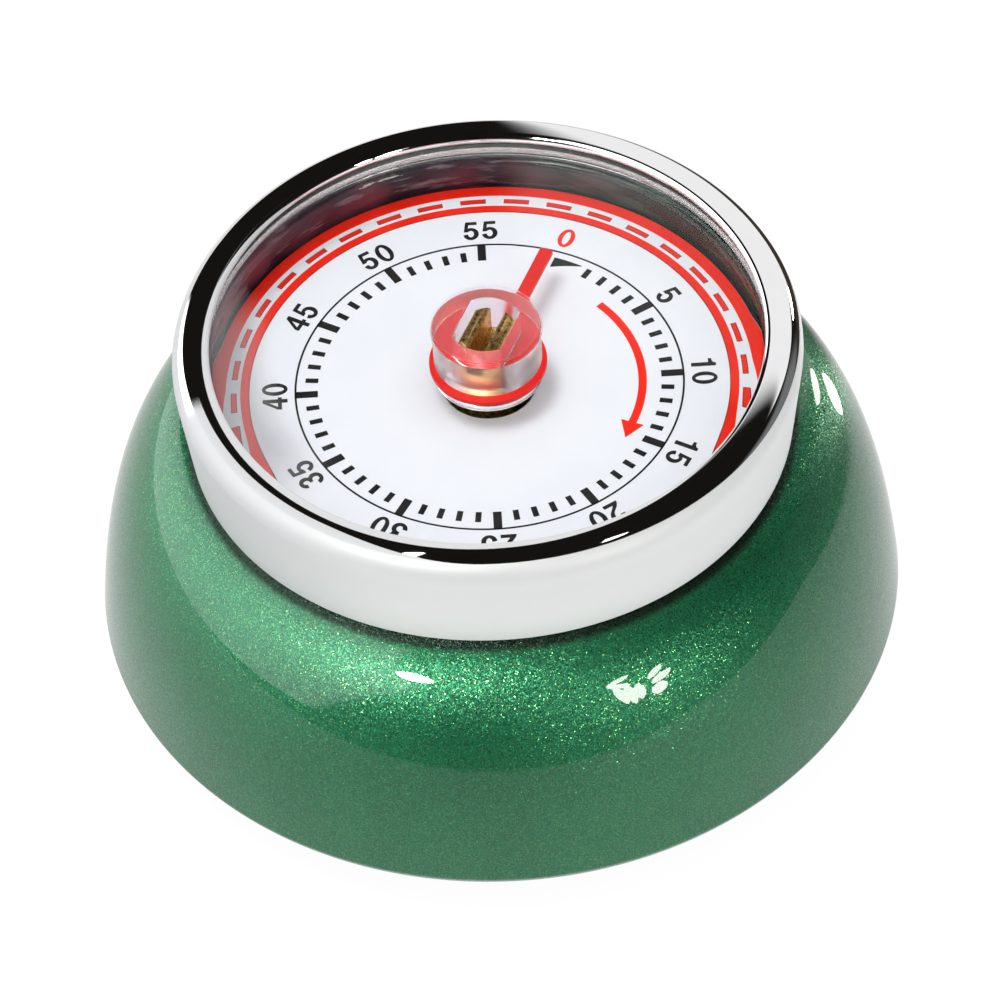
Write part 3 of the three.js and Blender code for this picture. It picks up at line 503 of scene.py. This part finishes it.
BORE_R, BORE_HALF = 3.1, 2.2  # hole with two flats in the hand and the crystal
DIGIT_H, DIGIT_W, DIGIT_SPREAD, DIGIT_SHIFT = 2.12, 0.70, 1.10, 0.03
PRINT_RISE, PRINT_SINK = 0.025, 0.01


def minute_at(minute):
    """Angle of a minute on the dial: 55 stands at the back and the numbers run clockwise."""
    return math.radians(90 + 6 * (55 - minute))


def finish_piece(ob, material, body, slot, *nodes):
    """Gives a piece its material and its body, and hides the CAD nodes that it stands for; its slot is not
    used.
    """
    if not ob.data.materials:
        ob.data.materials.append(material)
    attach(ob, body)
    if nodes:
        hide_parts(*nodes)
    return ob


def make_shell():
    """The pressed housing: rolled foot, full round side, shoulder, fold and neck, and its top face."""
    neck_r, neck_in, sheet, wall = 24.45, 23.85, 0.7, 0.8
    belly, shoulder, fold_top = (shell_r, 4.34), (26.5, 23.65), 25.6
    hole_r, bend = 6.0, 0.2
    face = dial_bottom - 0.3
    foot = bezier([(30, 1.3), (34.4, 2.2), belly], 24)
    side = bezier([belly, (34.38, 9.84), (33.04, 21.14), shoulder], 90)
    fold = bezier([shoulder, (24.95, 24.25), (neck_r, 24.55), (neck_r, fold_top)], 16)
    outer = foot + side[1:] + fold[1:] + [(neck_r, shell_top - 0.3)]
    rim = arc((neck_r + neck_in) / 2, shell_top - 0.3, 0.3, 0.3, 0, 180, 8)
    top = [(neck_in, face + bend), (neck_in - bend, face), (hole_r, face)]
    top += [(hole_r, face - sheet), (neck_in, face - sheet)]
    back = [(r - wall, z - 0.25) for r, z in reversed(side[6:])]
    under = [(34.0, 5.2), (33.4, 3.4), (30.0, 2.1)]
    ob = lathe("shell", outer + rim[1:] + top + back + under, 360, 40)
    ob.data.materials.append(PAINT)
    ob.data.materials.append(INNER)
    for polygon in ob.data.polygons:
        centre = polygon.center
        if Vector((centre.x, centre.y)).length < (neck_r - 0.05) * MM and centre.z > (face - 0.1) * MM:
            polygon.material_index = 1
    return ob


def make_bezel():
    """The turned ring: wall widening upwards, rolled rim, and the lip over the crystal's edge."""
    wall_r, inner_r, foot_round = 25.9, 25.2, 0.2
    roll_r = 1.9
    lip_r, edge_r, lip_drop = 23.5, 0.45, 0.01
    crest_r, crest_z = lip_r + edge_r, bezel_top - lip_drop
    roll = arc(bezel_r - roll_r, bezel_top - roll_r, roll_r, roll_r, -6.5, 60, 60)
    crown = bezier([roll[-1], (25.52, bezel_top - 0.085), (crest_r, crest_z)], 24)
    lip = arc(crest_r, crest_z - edge_r, edge_r, edge_r, 90, 176, 30)
    under = [(lip_r + 0.05, 33.7), (24.4, 33.6), (25.1, 33.0)]
    under += [(inner_r, 32.5), (inner_r, bezel_bottom + 0.25)]
    foot = arc(wall_r - foot_round, bezel_bottom + foot_round, foot_round, foot_round, 190, 353.5, 12)
    low_z, (high_r, high_z) = foot[-1][1], roll[0]
    wall = [(wall_r + (high_r - wall_r) * t, low_z + (high_z - low_z) * t) for t in (0.25, 0.5, 0.75)]
    return lathe("bezel", foot + wall + roll + crown[1:] + lip[1:] + under, 360, 40)


def make_crystal():
    """The domed clear cap: skirt, dome and the boss whose hole with two flats takes the arbor."""
    lip_r, sag, thick, skirt_in = 23.45, 2.3, 0.9, 24.0
    boss_r, boss_z = 4.6, hand_top + 0.3
    edge, hold = 0.15, 0.04
    dome_r, corner_r, corner_drop, bend_r, bend_z = 23.4, 0.45, 0.75, 0.9, 0.75

    def top(r):
        """Height of the dome at that radius."""
        return crystal_top - sag * (r / lip_r) ** 2

    def profile(angle):
        """The cap's section at that angle.

        Points set hold beside a rounded edge keep the faces next to it flat."""
        across = abs(math.sin(angle - HAND_AT))
        hole = min(BORE_R, BORE_HALF / max(across, 1e-6))
        rim = hole + edge
        mouth = [(hole, top(rim) - edge - hold)] + arc(rim, top(rim) - edge, edge, edge, 180, 92, 5)
        dome = [(r, top(r)) for r in [rim + hold] + steps(rim + 0.5, 23.2, 28)]
        shoulder = arc(crystal_r - corner_r, top(dome_r) - corner_drop, corner_r, corner_r, 80, 0, 6)
        skirt = [(crystal_r, crystal_bottom + 0.1), (crystal_r - 0.1, crystal_bottom)]
        skirt += [(skirt_in + 0.1, crystal_bottom), (skirt_in, crystal_bottom + 0.1)]
        bend_at = skirt_in - bend_r
        bend = arc(bend_at, top(bend_at) - thick - bend_z, bend_r, bend_z, 0, 88, 7)
        inside = boss_r + edge
        below = [(r, top(r) - thick) for r in steps(22.5, inside + 0.5, 26) + [inside + hold]]
        root_z = top(inside) - thick - edge
        root = arc(inside, root_z, edge, edge, 90, 180, 5) + [(boss_r, root_z - hold)]
        foot = [(boss_r, boss_z + edge + hold)] + arc(boss_r - edge, boss_z + edge, edge, edge, 0, -90, 5)
        foot.append((boss_r - edge - hold, boss_z))
        bore = [(rim + hold, boss_z)] + arc(rim, boss_z + edge, edge, edge, 270, 180, 5)
        bore.append((hole, boss_z + edge + hold))
        return mouth + dome + shoulder + skirt + bend + below + root + foot + bore

    return lathe("crystal_clear", profile, 288, 50)


def glyph(digit):
    """Outlines of a plain bold digit, drawn in a box one unit high and DIGIT_W wide."""
    if digit == "0":
        return [arc(0.35, 0.5, 0.335, 0.515, 0, 360, 40)[:-1], arc(0.35, 0.5, 0.145, 0.375, 360, 0, 32)[:-1]]
    if digit == "1":
        flag = bezier([(0.325, 1.0), (0.30, 0.86), (0.20, 0.82), (0.07, 0.82)], 8)
        return [[(0.28, 0), (0.475, 0), (0.475, 1.0)] + flag + [(0.07, 0.69), (0.28, 0.69)]]
    if digit == "2":
        outer = arc(0.35, 0.70, 0.305, 0.315, 180, -30, 24)
        sweep = bezier([outer[-1], (0.55, 0.42), (0.34, 0.30), (0.29, 0.165)], 10)
        base = [(0.66, 0.165), (0.66, 0), (0.025, 0)]
        back = bezier([(0.025, 0), (0.05, 0.26), (0.30, 0.37), (0.40, 0.50)], 12)[1:]
        inner = bezier([back[-1], (0.50, 0.62), (0.47, 0.86), (0.345, 0.86)], 10)[1:]
        inner += bezier([(0.345, 0.86), (0.25, 0.86), (0.23, 0.77), (0.235, 0.66)], 8)[1:]
        return [outer + sweep[1:] + base + back + inner + [(0.045, 0.66)]]
    if digit == "3":
        top_out = arc(0.345, 0.735, 0.285, 0.28, 178, -42, 22)
        low_out = arc(0.345, 0.285, 0.315, 0.30, 48, -178, 26)
        low_in = arc(0.345, 0.285, 0.125, 0.145, -178, 88, 20)
        bar = [(0.345, 0.445), (0.27, 0.445), (0.27, 0.585), (0.345, 0.585)]
        top_in = arc(0.345, 0.725, 0.10, 0.13, -88, 176, 18)
        return [top_out + low_out + low_in + bar + top_in]
    if digit == "4":
        outside = [(0.385, 0), (0.575, 0), (0.575, 0.23), (0.675, 0.23), (0.675, 0.385), (0.575, 0.385)]
        outside += [(0.575, 1.0), (0.40, 1.0), (0.02, 0.40), (0.02, 0.23), (0.385, 0.23)]
        return [outside, [(0.385, 0.385), (0.165, 0.385), (0.385, 0.745)]]
    top = [(0.60, 1.0), (0.13, 1.0), (0.055, 0.44), (0.225, 0.44)]
    crest = bezier([(0.225, 0.44), (0.26, 0.49), (0.30, 0.515), (0.345, 0.515)], 6)[1:]
    bowl_in = arc(0.345, 0.325, 0.125, 0.19, 90, -175, 22)[1:]
    bowl_out = arc(0.345, 0.325, 0.32, 0.34, -172, 112, 32)
    return [top + crest + bowl_in + [(0.03, 0.27)] + bowl_out[1:] + [(0.255, 0.84), (0.60, 0.84)]]


def number_groups(text, angle, radius):
    """A number standing on the dial at that angle and radius, each digit a group of outlines."""
    step = DIGIT_W * DIGIT_SPREAD
    left = -step * len(text) / 2 + DIGIT_SHIFT
    groups = []
    for position, c in enumerate(text):
        start = left + step * position
        shifted = [[((x + start) * DIGIT_H, (y - 0.5) * DIGIT_H) for x, y in part] for part in glyph(c)]
        groups.append([around(part, angle, radius) for part in shifted])
    return groups


def printed(name, groups, material):
    """One mesh of thin printed shapes on the dial. Each group is one shape with its holes."""
    low, high = dial_top - PRINT_SINK, dial_top + PRINT_RISE
    parts = [plate(f"{name}_{i}", group, low, high) for i, group in enumerate(groups)]
    finish_piece(merged(name, parts), material, "housing", "dial_print")


def make_dial():
    """The printed dial: white disc, minute ring, numbers, red border with dashes, and the arrow."""
    hole, edge = 4.0, 0.08
    top = [(hole, dial_top), (dial_r - edge, dial_top), (dial_r, dial_top - edge)]
    disc = lathe("dial_face", top + [(dial_r, dial_bottom), (hole, dial_bottom)], 288)
    finish_piece(disc, DIAL, "housing", "dial_print", "dial")

    ring_r, ring_half, tick_r, tick_long, numbers_r = 16.5, 0.085, 14.6, 1.1, 18.25
    five_wide, one_wide = 0.72, 0.50
    black = [ring(ring_r + ring_half, ring_r - ring_half, 240)]
    for minute in range(1, 56):
        wide, far = (five_wide, ring_r) if minute % 5 == 0 else (one_wide, tick_r + tick_long)
        bar = [(-wide / 2, tick_r), (wide / 2, tick_r), (wide / 2, far), (-wide / 2, far)]
        black.append([around(bar, minute_at(minute))])
    wedge_out = arc(0, 0, 15.75, 15.75, 57, 66.5, 10)
    wedge_in = bezier([polar(14.58, 66.5), polar(15.25, 61.5), polar(15.7, 57)], 10)
    black.append([wedge_out + wedge_in])
    for minute in range(5, 60, 5):
        black += number_groups(str(minute), minute_at(minute), numbers_r)
    printed("dial_print_black", black, BLACK)

    inner_in, inner_out, outer_in, outer_out = 20.5, 21.2, 22.44, 23.5
    red = [ring(inner_out, inner_in), ring(outer_out, outer_in)]
    red += number_groups("0", HAND_AT, numbers_r)
    dash_at, dash_long, dashes, dash_in, dash_out = 1.3, 5.85, 36, 21.56, 21.94
    edge_w, edge_turn = 0.06, 0.15
    dash_middles = [dash_at + 360 / dashes * i for i in range(dashes)]
    for middle in dash_middles:
        half = dash_long / 2 - edge_turn
        red.append([sector(dash_in, dash_out, middle - half, middle + half, 0.6)])
    arrow_r, arrow_half, arrow_from, head_half, head_from, head_to = 13.0, 0.35, 41, 1.02, -24.5, -32.5
    red.append([sector(arrow_r - arrow_half, arrow_r + arrow_half, arrow_from, head_from)])
    tip = polar(arrow_r + 0.2, head_to)
    red.append([[polar(arrow_r - head_half, head_from), tip, polar(arrow_r + head_half, head_from)]])
    printed("dial_print_red", red, RED_INK)

    dark = [ring(inner_in, inner_in - 0.08)]
    for middle in dash_middles:
        a, b = middle - dash_long / 2, middle + dash_long / 2
        border = sector(dash_in - edge_w, dash_out + edge_w, a, b, 0.6)
        dark.append([border, sector(dash_in, dash_out, a + edge_turn, b - edge_turn, 0.6)])
    printed("dial_print_edges", dark, DARK_RED)


def flats(radius, half, count=24):
    """A round outline with two flats parallel to the hand."""
    start = math.asin(half / radius)
    angles = [HAND_AT + side + turn for side in (0, math.pi) for turn in steps(-start, start, count)]
    return [(radius * math.cos(a), radius * math.sin(a)) for a in angles]


def make_hand():
    """The red hand: round hub and flat blade, edges softened."""
    hub_r, blade_r, half, corner = 5.0, 13.8, 0.575, 0.1
    start = math.degrees(math.asin(half / hub_r))
    hub = arc(0, 0, hub_r, hub_r, start, 360 - start, 96)
    blade = [(blade_r - corner, -half), (blade_r, -half + corner)]
    blade += [(blade_r, half - corner), (blade_r - corner, half)]
    c, s = math.cos(HAND_AT), math.sin(HAND_AT)
    outline = [(x * c - y * s, x * s + y * c) for x, y in hub + blade]
    ob = plate("hand_red", [outline, flats(BORE_R, BORE_HALF)[::-1]], hand_bottom, hand_top)
    bevel = ob.modifiers.new("edge", "BEVEL")
    bevel.width, bevel.segments, bevel.limit_method = 0.09 * MM, 3, "ANGLE"
    return ob


def make_collar():
    """The bright collar under the hand, with one groove and softened edges."""
    low, high, r, bore = collar_bottom, collar_top, collar_r, 3.35
    soft, groove = 0.12, 0.13
    side = [(r - soft, low), (r, low + soft), (r, low + 0.24)]
    side += [(r - groove, low + 0.30), (r - groove, low + 0.36), (r, low + 0.42)]
    side += [(r, high - soft), (r - soft, high)]
    return lathe("collar_bright", side + [(bore, high), (bore, low)], 160, 30)


def make_arbor():
    """The arbor: round below, two flats above, and the slot that leaves two prongs with softened tips."""
    low, shoulder, round_r, soft = 5.0, 28.87, 3.2, 0.2
    flat_r, flat_half, slot_half, slot_depth = 2.7, 1.8, 0.65, 2.6
    slot_z = arbor_top - slot_depth
    profile = [(0, low), (round_r, low), (round_r, shoulder - soft)]
    profile += [(round_r - soft, shoulder), (0, shoulder)]
    stem = lathe("arbor_stem", profile, 96)
    neck = plate("arbor_neck", [flats(flat_r, flat_half)], shoulder, slot_z)
    prongs = [prong(side, flat_r, flat_half, slot_half, slot_z, arbor_top) for side in (-1, 1)]
    return merged("arbor", [stem, neck] + prongs)


def prong(side, radius, flat_half, slot_half, low, high):
    """One prong between the slot and a flat, closed by the arbor's round. Its tip is softened."""
    inner, outer = math.asin(slot_half / radius), math.asin(flat_half / radius)
    angles = steps(inner, outer, 6) + steps(math.pi - outer, math.pi - inner, 6)
    outline = [(radius * math.cos(a), side * radius * math.sin(a)) for a in angles]
    middle, half = side * (slot_half + flat_half) / 2, (flat_half - slot_half) / 2
    c, s = math.cos(HAND_AT), math.sin(HAND_AT)
    verts, faces = [], []
    levels = [(low, 0.0), (high - 0.34, 0.0), (high - 0.2, 0.04), (high - 0.08, 0.14), (high, 0.34)]
    for z, inset in levels:
        for x, y in outline:
            nx, ny = x * (1 - inset / radius), middle + (y - middle) * (1 - inset / half)
            verts.append((nx * c - ny * s, nx * s + ny * c, z))
    count = len(outline)
    for level in range(len(levels) - 1):
        for i in range(count):
            a, b = level * count + i, level * count + (i + 1) % count
            faces.append((a, b, b + count, a + count))
    faces.append(tuple(range(count))[::-1])
    faces.append(tuple(range((len(levels) - 1) * count, len(levels) * count)))
    if side < 0:
        faces = [face[::-1] for face in faces]
    return new_object("arbor_prong", verts, faces)


PIECES = [
    (make_shell(), PAINT, "housing", "green_flake", "body_shell"),
    (make_bezel(), CHROME, "spindle", "chrome", "bezel_ring"),
    (make_crystal(), CLEAR, "spindle", "clear_plastic", "crystal"),
]
make_dial()
PIECES += [
    (make_hand(), RED, "spindle", "red_plastic", "hand"),
    (make_collar(), BRIGHT, "spindle", "chrome", "hand_collar"),
    (make_arbor(), GOLD, "spindle", "brass", "main_arbor"),
]

for ob, material, body, slot, *nodes in PIECES:
    finish_piece(ob, material, body, slot, *nodes)


# ---------------------------------------------------------------- the CAD nodes that stay

SLOT_MATERIALS = {
    "green_flake": PAINT,
    "chrome": BRIGHT,
    "brass": BRASS,
    "steel": STEEL,
    "blue_steel": BLUE_STEEL,
    "ferrite": FERRITE,
    "dial_print": DIAL,
    "red_plastic": RED,
    "clear_plastic": CLEAR,
}
for row in frame["record"]["materials"]:
    for name in row.get("nodes", []):
        ob = frame["nodes"][name]
        if not ob.hide_render:
            ob.data.materials.clear()
            ob.data.materials.append(SLOT_MATERIALS[row["slot"]])
            ob.data.shade_smooth()
            ob.data.set_sharp_from_angle(angle=math.radians(SOFT))


# ---------------------------------------------------------------- stage, light and camera


def make_floor():
    """A plain white table top. For what shines it ends in the dark in front and behind on the right."""
    front_from, front_to = -100 * MM, -118 * MM
    right_from, right_to, behind_from, behind_to = 20 * MM, 45 * MM, 26 * MM, 56 * MM
    paper_share, half = 0.91, 3000.0
    material, tree, bsdf = shader("table_white")
    at = place(tree)
    x, y, _ = node(tree, "SeparateXYZ", {0: at}).outputs
    white = mixed(tree, noise(tree, at, 12.0), (0.90, 0.90, 0.905), (0.92, 0.92, 0.92))
    put(tree, bsdf, Base_Color=white, Roughness=0.8)
    path = node(tree, "LightPath")
    seen = maths(tree, "MAXIMUM", path.outputs["Is Camera Ray"], path.outputs["Is Transmission Ray"])
    paper = glow(tree, (1, 1, 1), 1.05)
    shown = blended(tree, maths(tree, "MULTIPLY", seen, paper_share), bsdf, paper)
    front = ramp(tree, y, front_from, front_to)
    at_right = ramp(tree, x, right_from, right_to)
    behind = maths(tree, "MULTIPLY", at_right, ramp(tree, y, behind_from, behind_to))
    dark = glow(tree, (0.05, 0.04, 0.032), 0.8)
    mirrored = blended(tree, maths(tree, "MAXIMUM", front, behind), glow(tree, (1, 1, 1), 0.8), dark)
    show(tree, blended(tree, path.outputs["Is Glossy Ray"], shown, mirrored))
    corners = [(-half, -half, 0), (half, -half, 0), (half, half, 0), (-half, half, 0)]
    ob = new_object("table", corners, [(0, 1, 2, 3)])
    ob.data.materials.append(material)


def make_world():
    """The room: white to look at, even for what is dull, and dark with soft cards for what shines."""
    world = bpy.data.worlds.new("studio")
    scene.world = world
    world.use_nodes = True
    world.cycles.sampling_method = "NONE"
    tree = world.node_tree
    tree.nodes.clear()
    output = node(tree, "OutputWorld")
    towards = node(tree, "TexCoord").outputs["Generated"]
    parts = node(tree, "SeparateXYZ", {0: towards}).outputs
    azimuth = maths(tree, "ARCTAN2", parts[1], parts[0])
    elevation = maths(tree, "ARCSINE", parts[2])

    def off(middle):
        """Azimuth from the card's middle, in radians."""
        turned = maths(tree, "SUBTRACT", azimuth, math.radians(middle))
        return maths(tree, "WRAP", turned, math.pi, -math.pi)

    def lit(colour, mask):
        """A card's light where its mask is 1."""
        return node(tree, "VectorMath", {0: colour, "Scale": mask}, operation="SCALE").outputs[0]

    def card(middle, half, low, high, colour, soft=6.0):
        """A soft-edged card: its middle and half width in azimuth, and its lowest and highest elevation."""
        reach = soft / 2
        side = swing(tree, maths(tree, "ABSOLUTE", off(middle)), half + reach, half - reach)
        above = swing(tree, elevation, low - reach, low + reach)
        below = swing(tree, elevation, high + reach, high - reach)
        return lit(colour, product(tree, side, above, below))

    def left_card(colour):
        """The large card at the left: its top edge is arched and its front edge leans."""
        crest, arching, leaning = math.radians(76), -0.7735, -0.62
        away = off(190)
        arch = maths(tree, "MULTIPLY_ADD", maths(tree, "MULTIPLY", away, away), arching, crest)
        under = ramp(tree, maths(tree, "SUBTRACT", elevation, arch), 0.035, -0.035)
        side = swing(tree, maths(tree, "MULTIPLY_ADD", elevation, leaning, away), 31, 23)
        back = swing(tree, away, -67, -63)
        return lit(colour, product(tree, under, side, back))

    total = left_card((2.4, 2.45, 2.5))
    others = [
        card(68, 19.5, -10, 49, (0.90, 0.90, 0.91), 3.0),
        card(18, 18, -8, 30, (0.15, 0.155, 0.16), 12.0),
        card(90, 180, -95, 95, (0.008, 0.007, 0.006)),
    ]
    for other in others:
        total = node(tree, "VectorMath", {0: total, 1: other}).outputs[0]
    studio = node(tree, "Background", {0: total, 1: 1.0})
    even_light = maths(tree, "MULTIPLY_ADD", parts[0], 0.12, 0.79)
    even = node(tree, "Background", {0: (1, 1, 1, 1), 1: even_light})
    paper = node(tree, "Background", {0: (1, 1, 1, 1), 1: 1.0})
    # What the clear cap mirrors under itself sees the studio. All else seen through it sees the paper.
    path = node(tree, "LightPath").outputs
    under_clear = maths(tree, "GREATER_THAN", path["Transmission Depth"], 1.5)
    mirrored = maths(tree, "GREATER_THAN", path["Glossy Depth"], 0.5)
    dulled = maths(tree, "GREATER_THAN", path["Diffuse Depth"], 0.5)
    inside = maths(tree, "SUBTRACT", maths(tree, "MULTIPLY", under_clear, mirrored), dulled)
    through = maths(tree, "SUBTRACT", path["Is Transmission Ray"], maths(tree, "MAXIMUM", inside, 0.0))
    seen = maths(tree, "MAXIMUM", path["Is Camera Ray"], through)
    room = blended(tree, path["Is Diffuse Ray"], studio, even)
    tree.links.new(blended(tree, seen, room, paper).outputs[0], output.inputs[0])


def lamp(name, azimuth, elevation, distance, wide, high, radiance):
    """An area lamp at that direction and distance in metres. It lights only what is dull."""
    aim = Vector((0, 0, 20 * MM))
    towards = direction(azimuth, elevation)
    data = bpy.data.lights.new(name, "AREA")
    data.shape = "RECTANGLE"
    data.size, data.size_y = wide, high
    data.energy = radiance * math.pi * wide * high
    ob = bpy.data.objects.new(name, data)
    scene.collection.objects.link(ob)
    ob.location = towards * distance + aim
    ob.rotation_euler = towards.to_track_quat("Z", "Y").to_euler()
    ob.visible_camera = ob.visible_glossy = False


def petal(azimuth, elevation, length, width, lean, count=24):
    """A pointed oval in azimuth and elevation: its middle, half length, half width and lean, in degrees."""
    c, s = math.cos(math.radians(lean)), math.sin(math.radians(lean))
    out = []
    for i in range(count):
        turn = TURN * i / count
        along = length * math.cos(turn)
        across = width * math.sin(turn) * abs(math.sin(turn)) ** 0.5
        out.append((azimuth + along * c - across * s, elevation + along * s + across * c))
    return out


def glint(name, outlines, strength, anchor, distance=0.7):
    """Flat bright cards, distance metres from the anchor in mm. They show only in what is glossy."""
    material, tree, _ = shader(name + "_light")
    show(tree, glow(tree, (1, 1, 0.93), strength))
    for number, outline in enumerate(outlines):
        verts = [Vector(anchor) + direction(*angles) * distance / MM for angles in outline]
        ob = new_object(f"{name}_{number}", verts, [tuple(range(len(verts)))])
        ob.data.materials.append(material)
        ob.visible_camera = ob.visible_diffuse = ob.visible_transmission = ob.visible_shadow = False


def make_camera():
    """The view: from the front, 48 degrees up, rolled a little, through a long lens."""
    elevation, roll = math.radians(48.05), math.radians(3.445)
    distance, across, up, aim_drop = 485.02 * MM, -0.895 * MM, 9.946 * MM, 6.3
    flat, high = Vector((1, 0, 0)), Vector((0, math.sin(elevation), math.cos(elevation)))
    back = Vector((0, -math.cos(elevation), math.sin(elevation)))
    right = math.cos(roll) * flat - math.sin(roll) * high
    top = math.sin(roll) * flat + math.cos(roll) * high
    data = bpy.data.cameras.new("camera")
    data.sensor_width, data.lens = 36.0, 205.02
    data.clip_start, data.clip_end = 0.01, 20.0
    ob = bpy.data.objects.new("camera", data)
    scene.collection.objects.link(ob)
    aim = Vector((0, 0, (bezel_top - aim_drop) * MM))
    where = aim - across * right - up * top + distance * back
    turn = Matrix((right, top, back)).transposed().to_4x4()
    ob.matrix_world = Matrix.Translation(where) @ turn
    scene.camera = ob


make_floor()
make_world()
lamp("lamp_key", 165, 73, 0.6, 0.24, 0.24, 8.0)
glint("glint_left", [petal(-123, 50.3, 8, 3.8, -15)], 210.0, (-7.6, -27.5, 22.5))
glint("glint_front_a", [
    petal(-57.8, 30.6, 4.4, 1.7, 25),
    petal(-58.5, 26.0, 4.2, 1.8, -37),
    petal(-59.0, 18.5, 8.0, 1.6, 97),
    petal(-56.4, 17.0, 8.2, 1.6, 93),
    petal(-53.8, 16.5, 6.2, 1.7, 88),
], 25.0, (9.8, -28.7, 20.5))
glint("glint_front_b", [
    petal(-47.3, 25.8, 4.8, 1.7, 52),
    petal(-46.6, 20.2, 4.4, 2.3, 40),
    petal(-48.7, 12.9, 4.0, 2.5, 75),
], 25.0, (12.5, -27.6, 20.6))
glint("glint_right", [petal(47.4, 8.6, 6.8, 2.8, 117)], 13.0, (28.0, 2.3, 22.8))
glint("glint_rim_a", [petal(110, 68.5, 17.5, 2.6, 24)], 2.5, (-6.8, -24.0, 34.3), 0.03)
glint("glint_rim_b", [petal(40, 74.5, 29, 4, -6)], 2.5, (9.6, -23.1, 34.3), 0.03)
glint("glint_low", [petal(45.8, -14, 9, 7, 40)], 13.0, (28.0, 2.3, 22.8), 0.0252)
make_camera()
scene.view_settings.view_transform = "Standard"
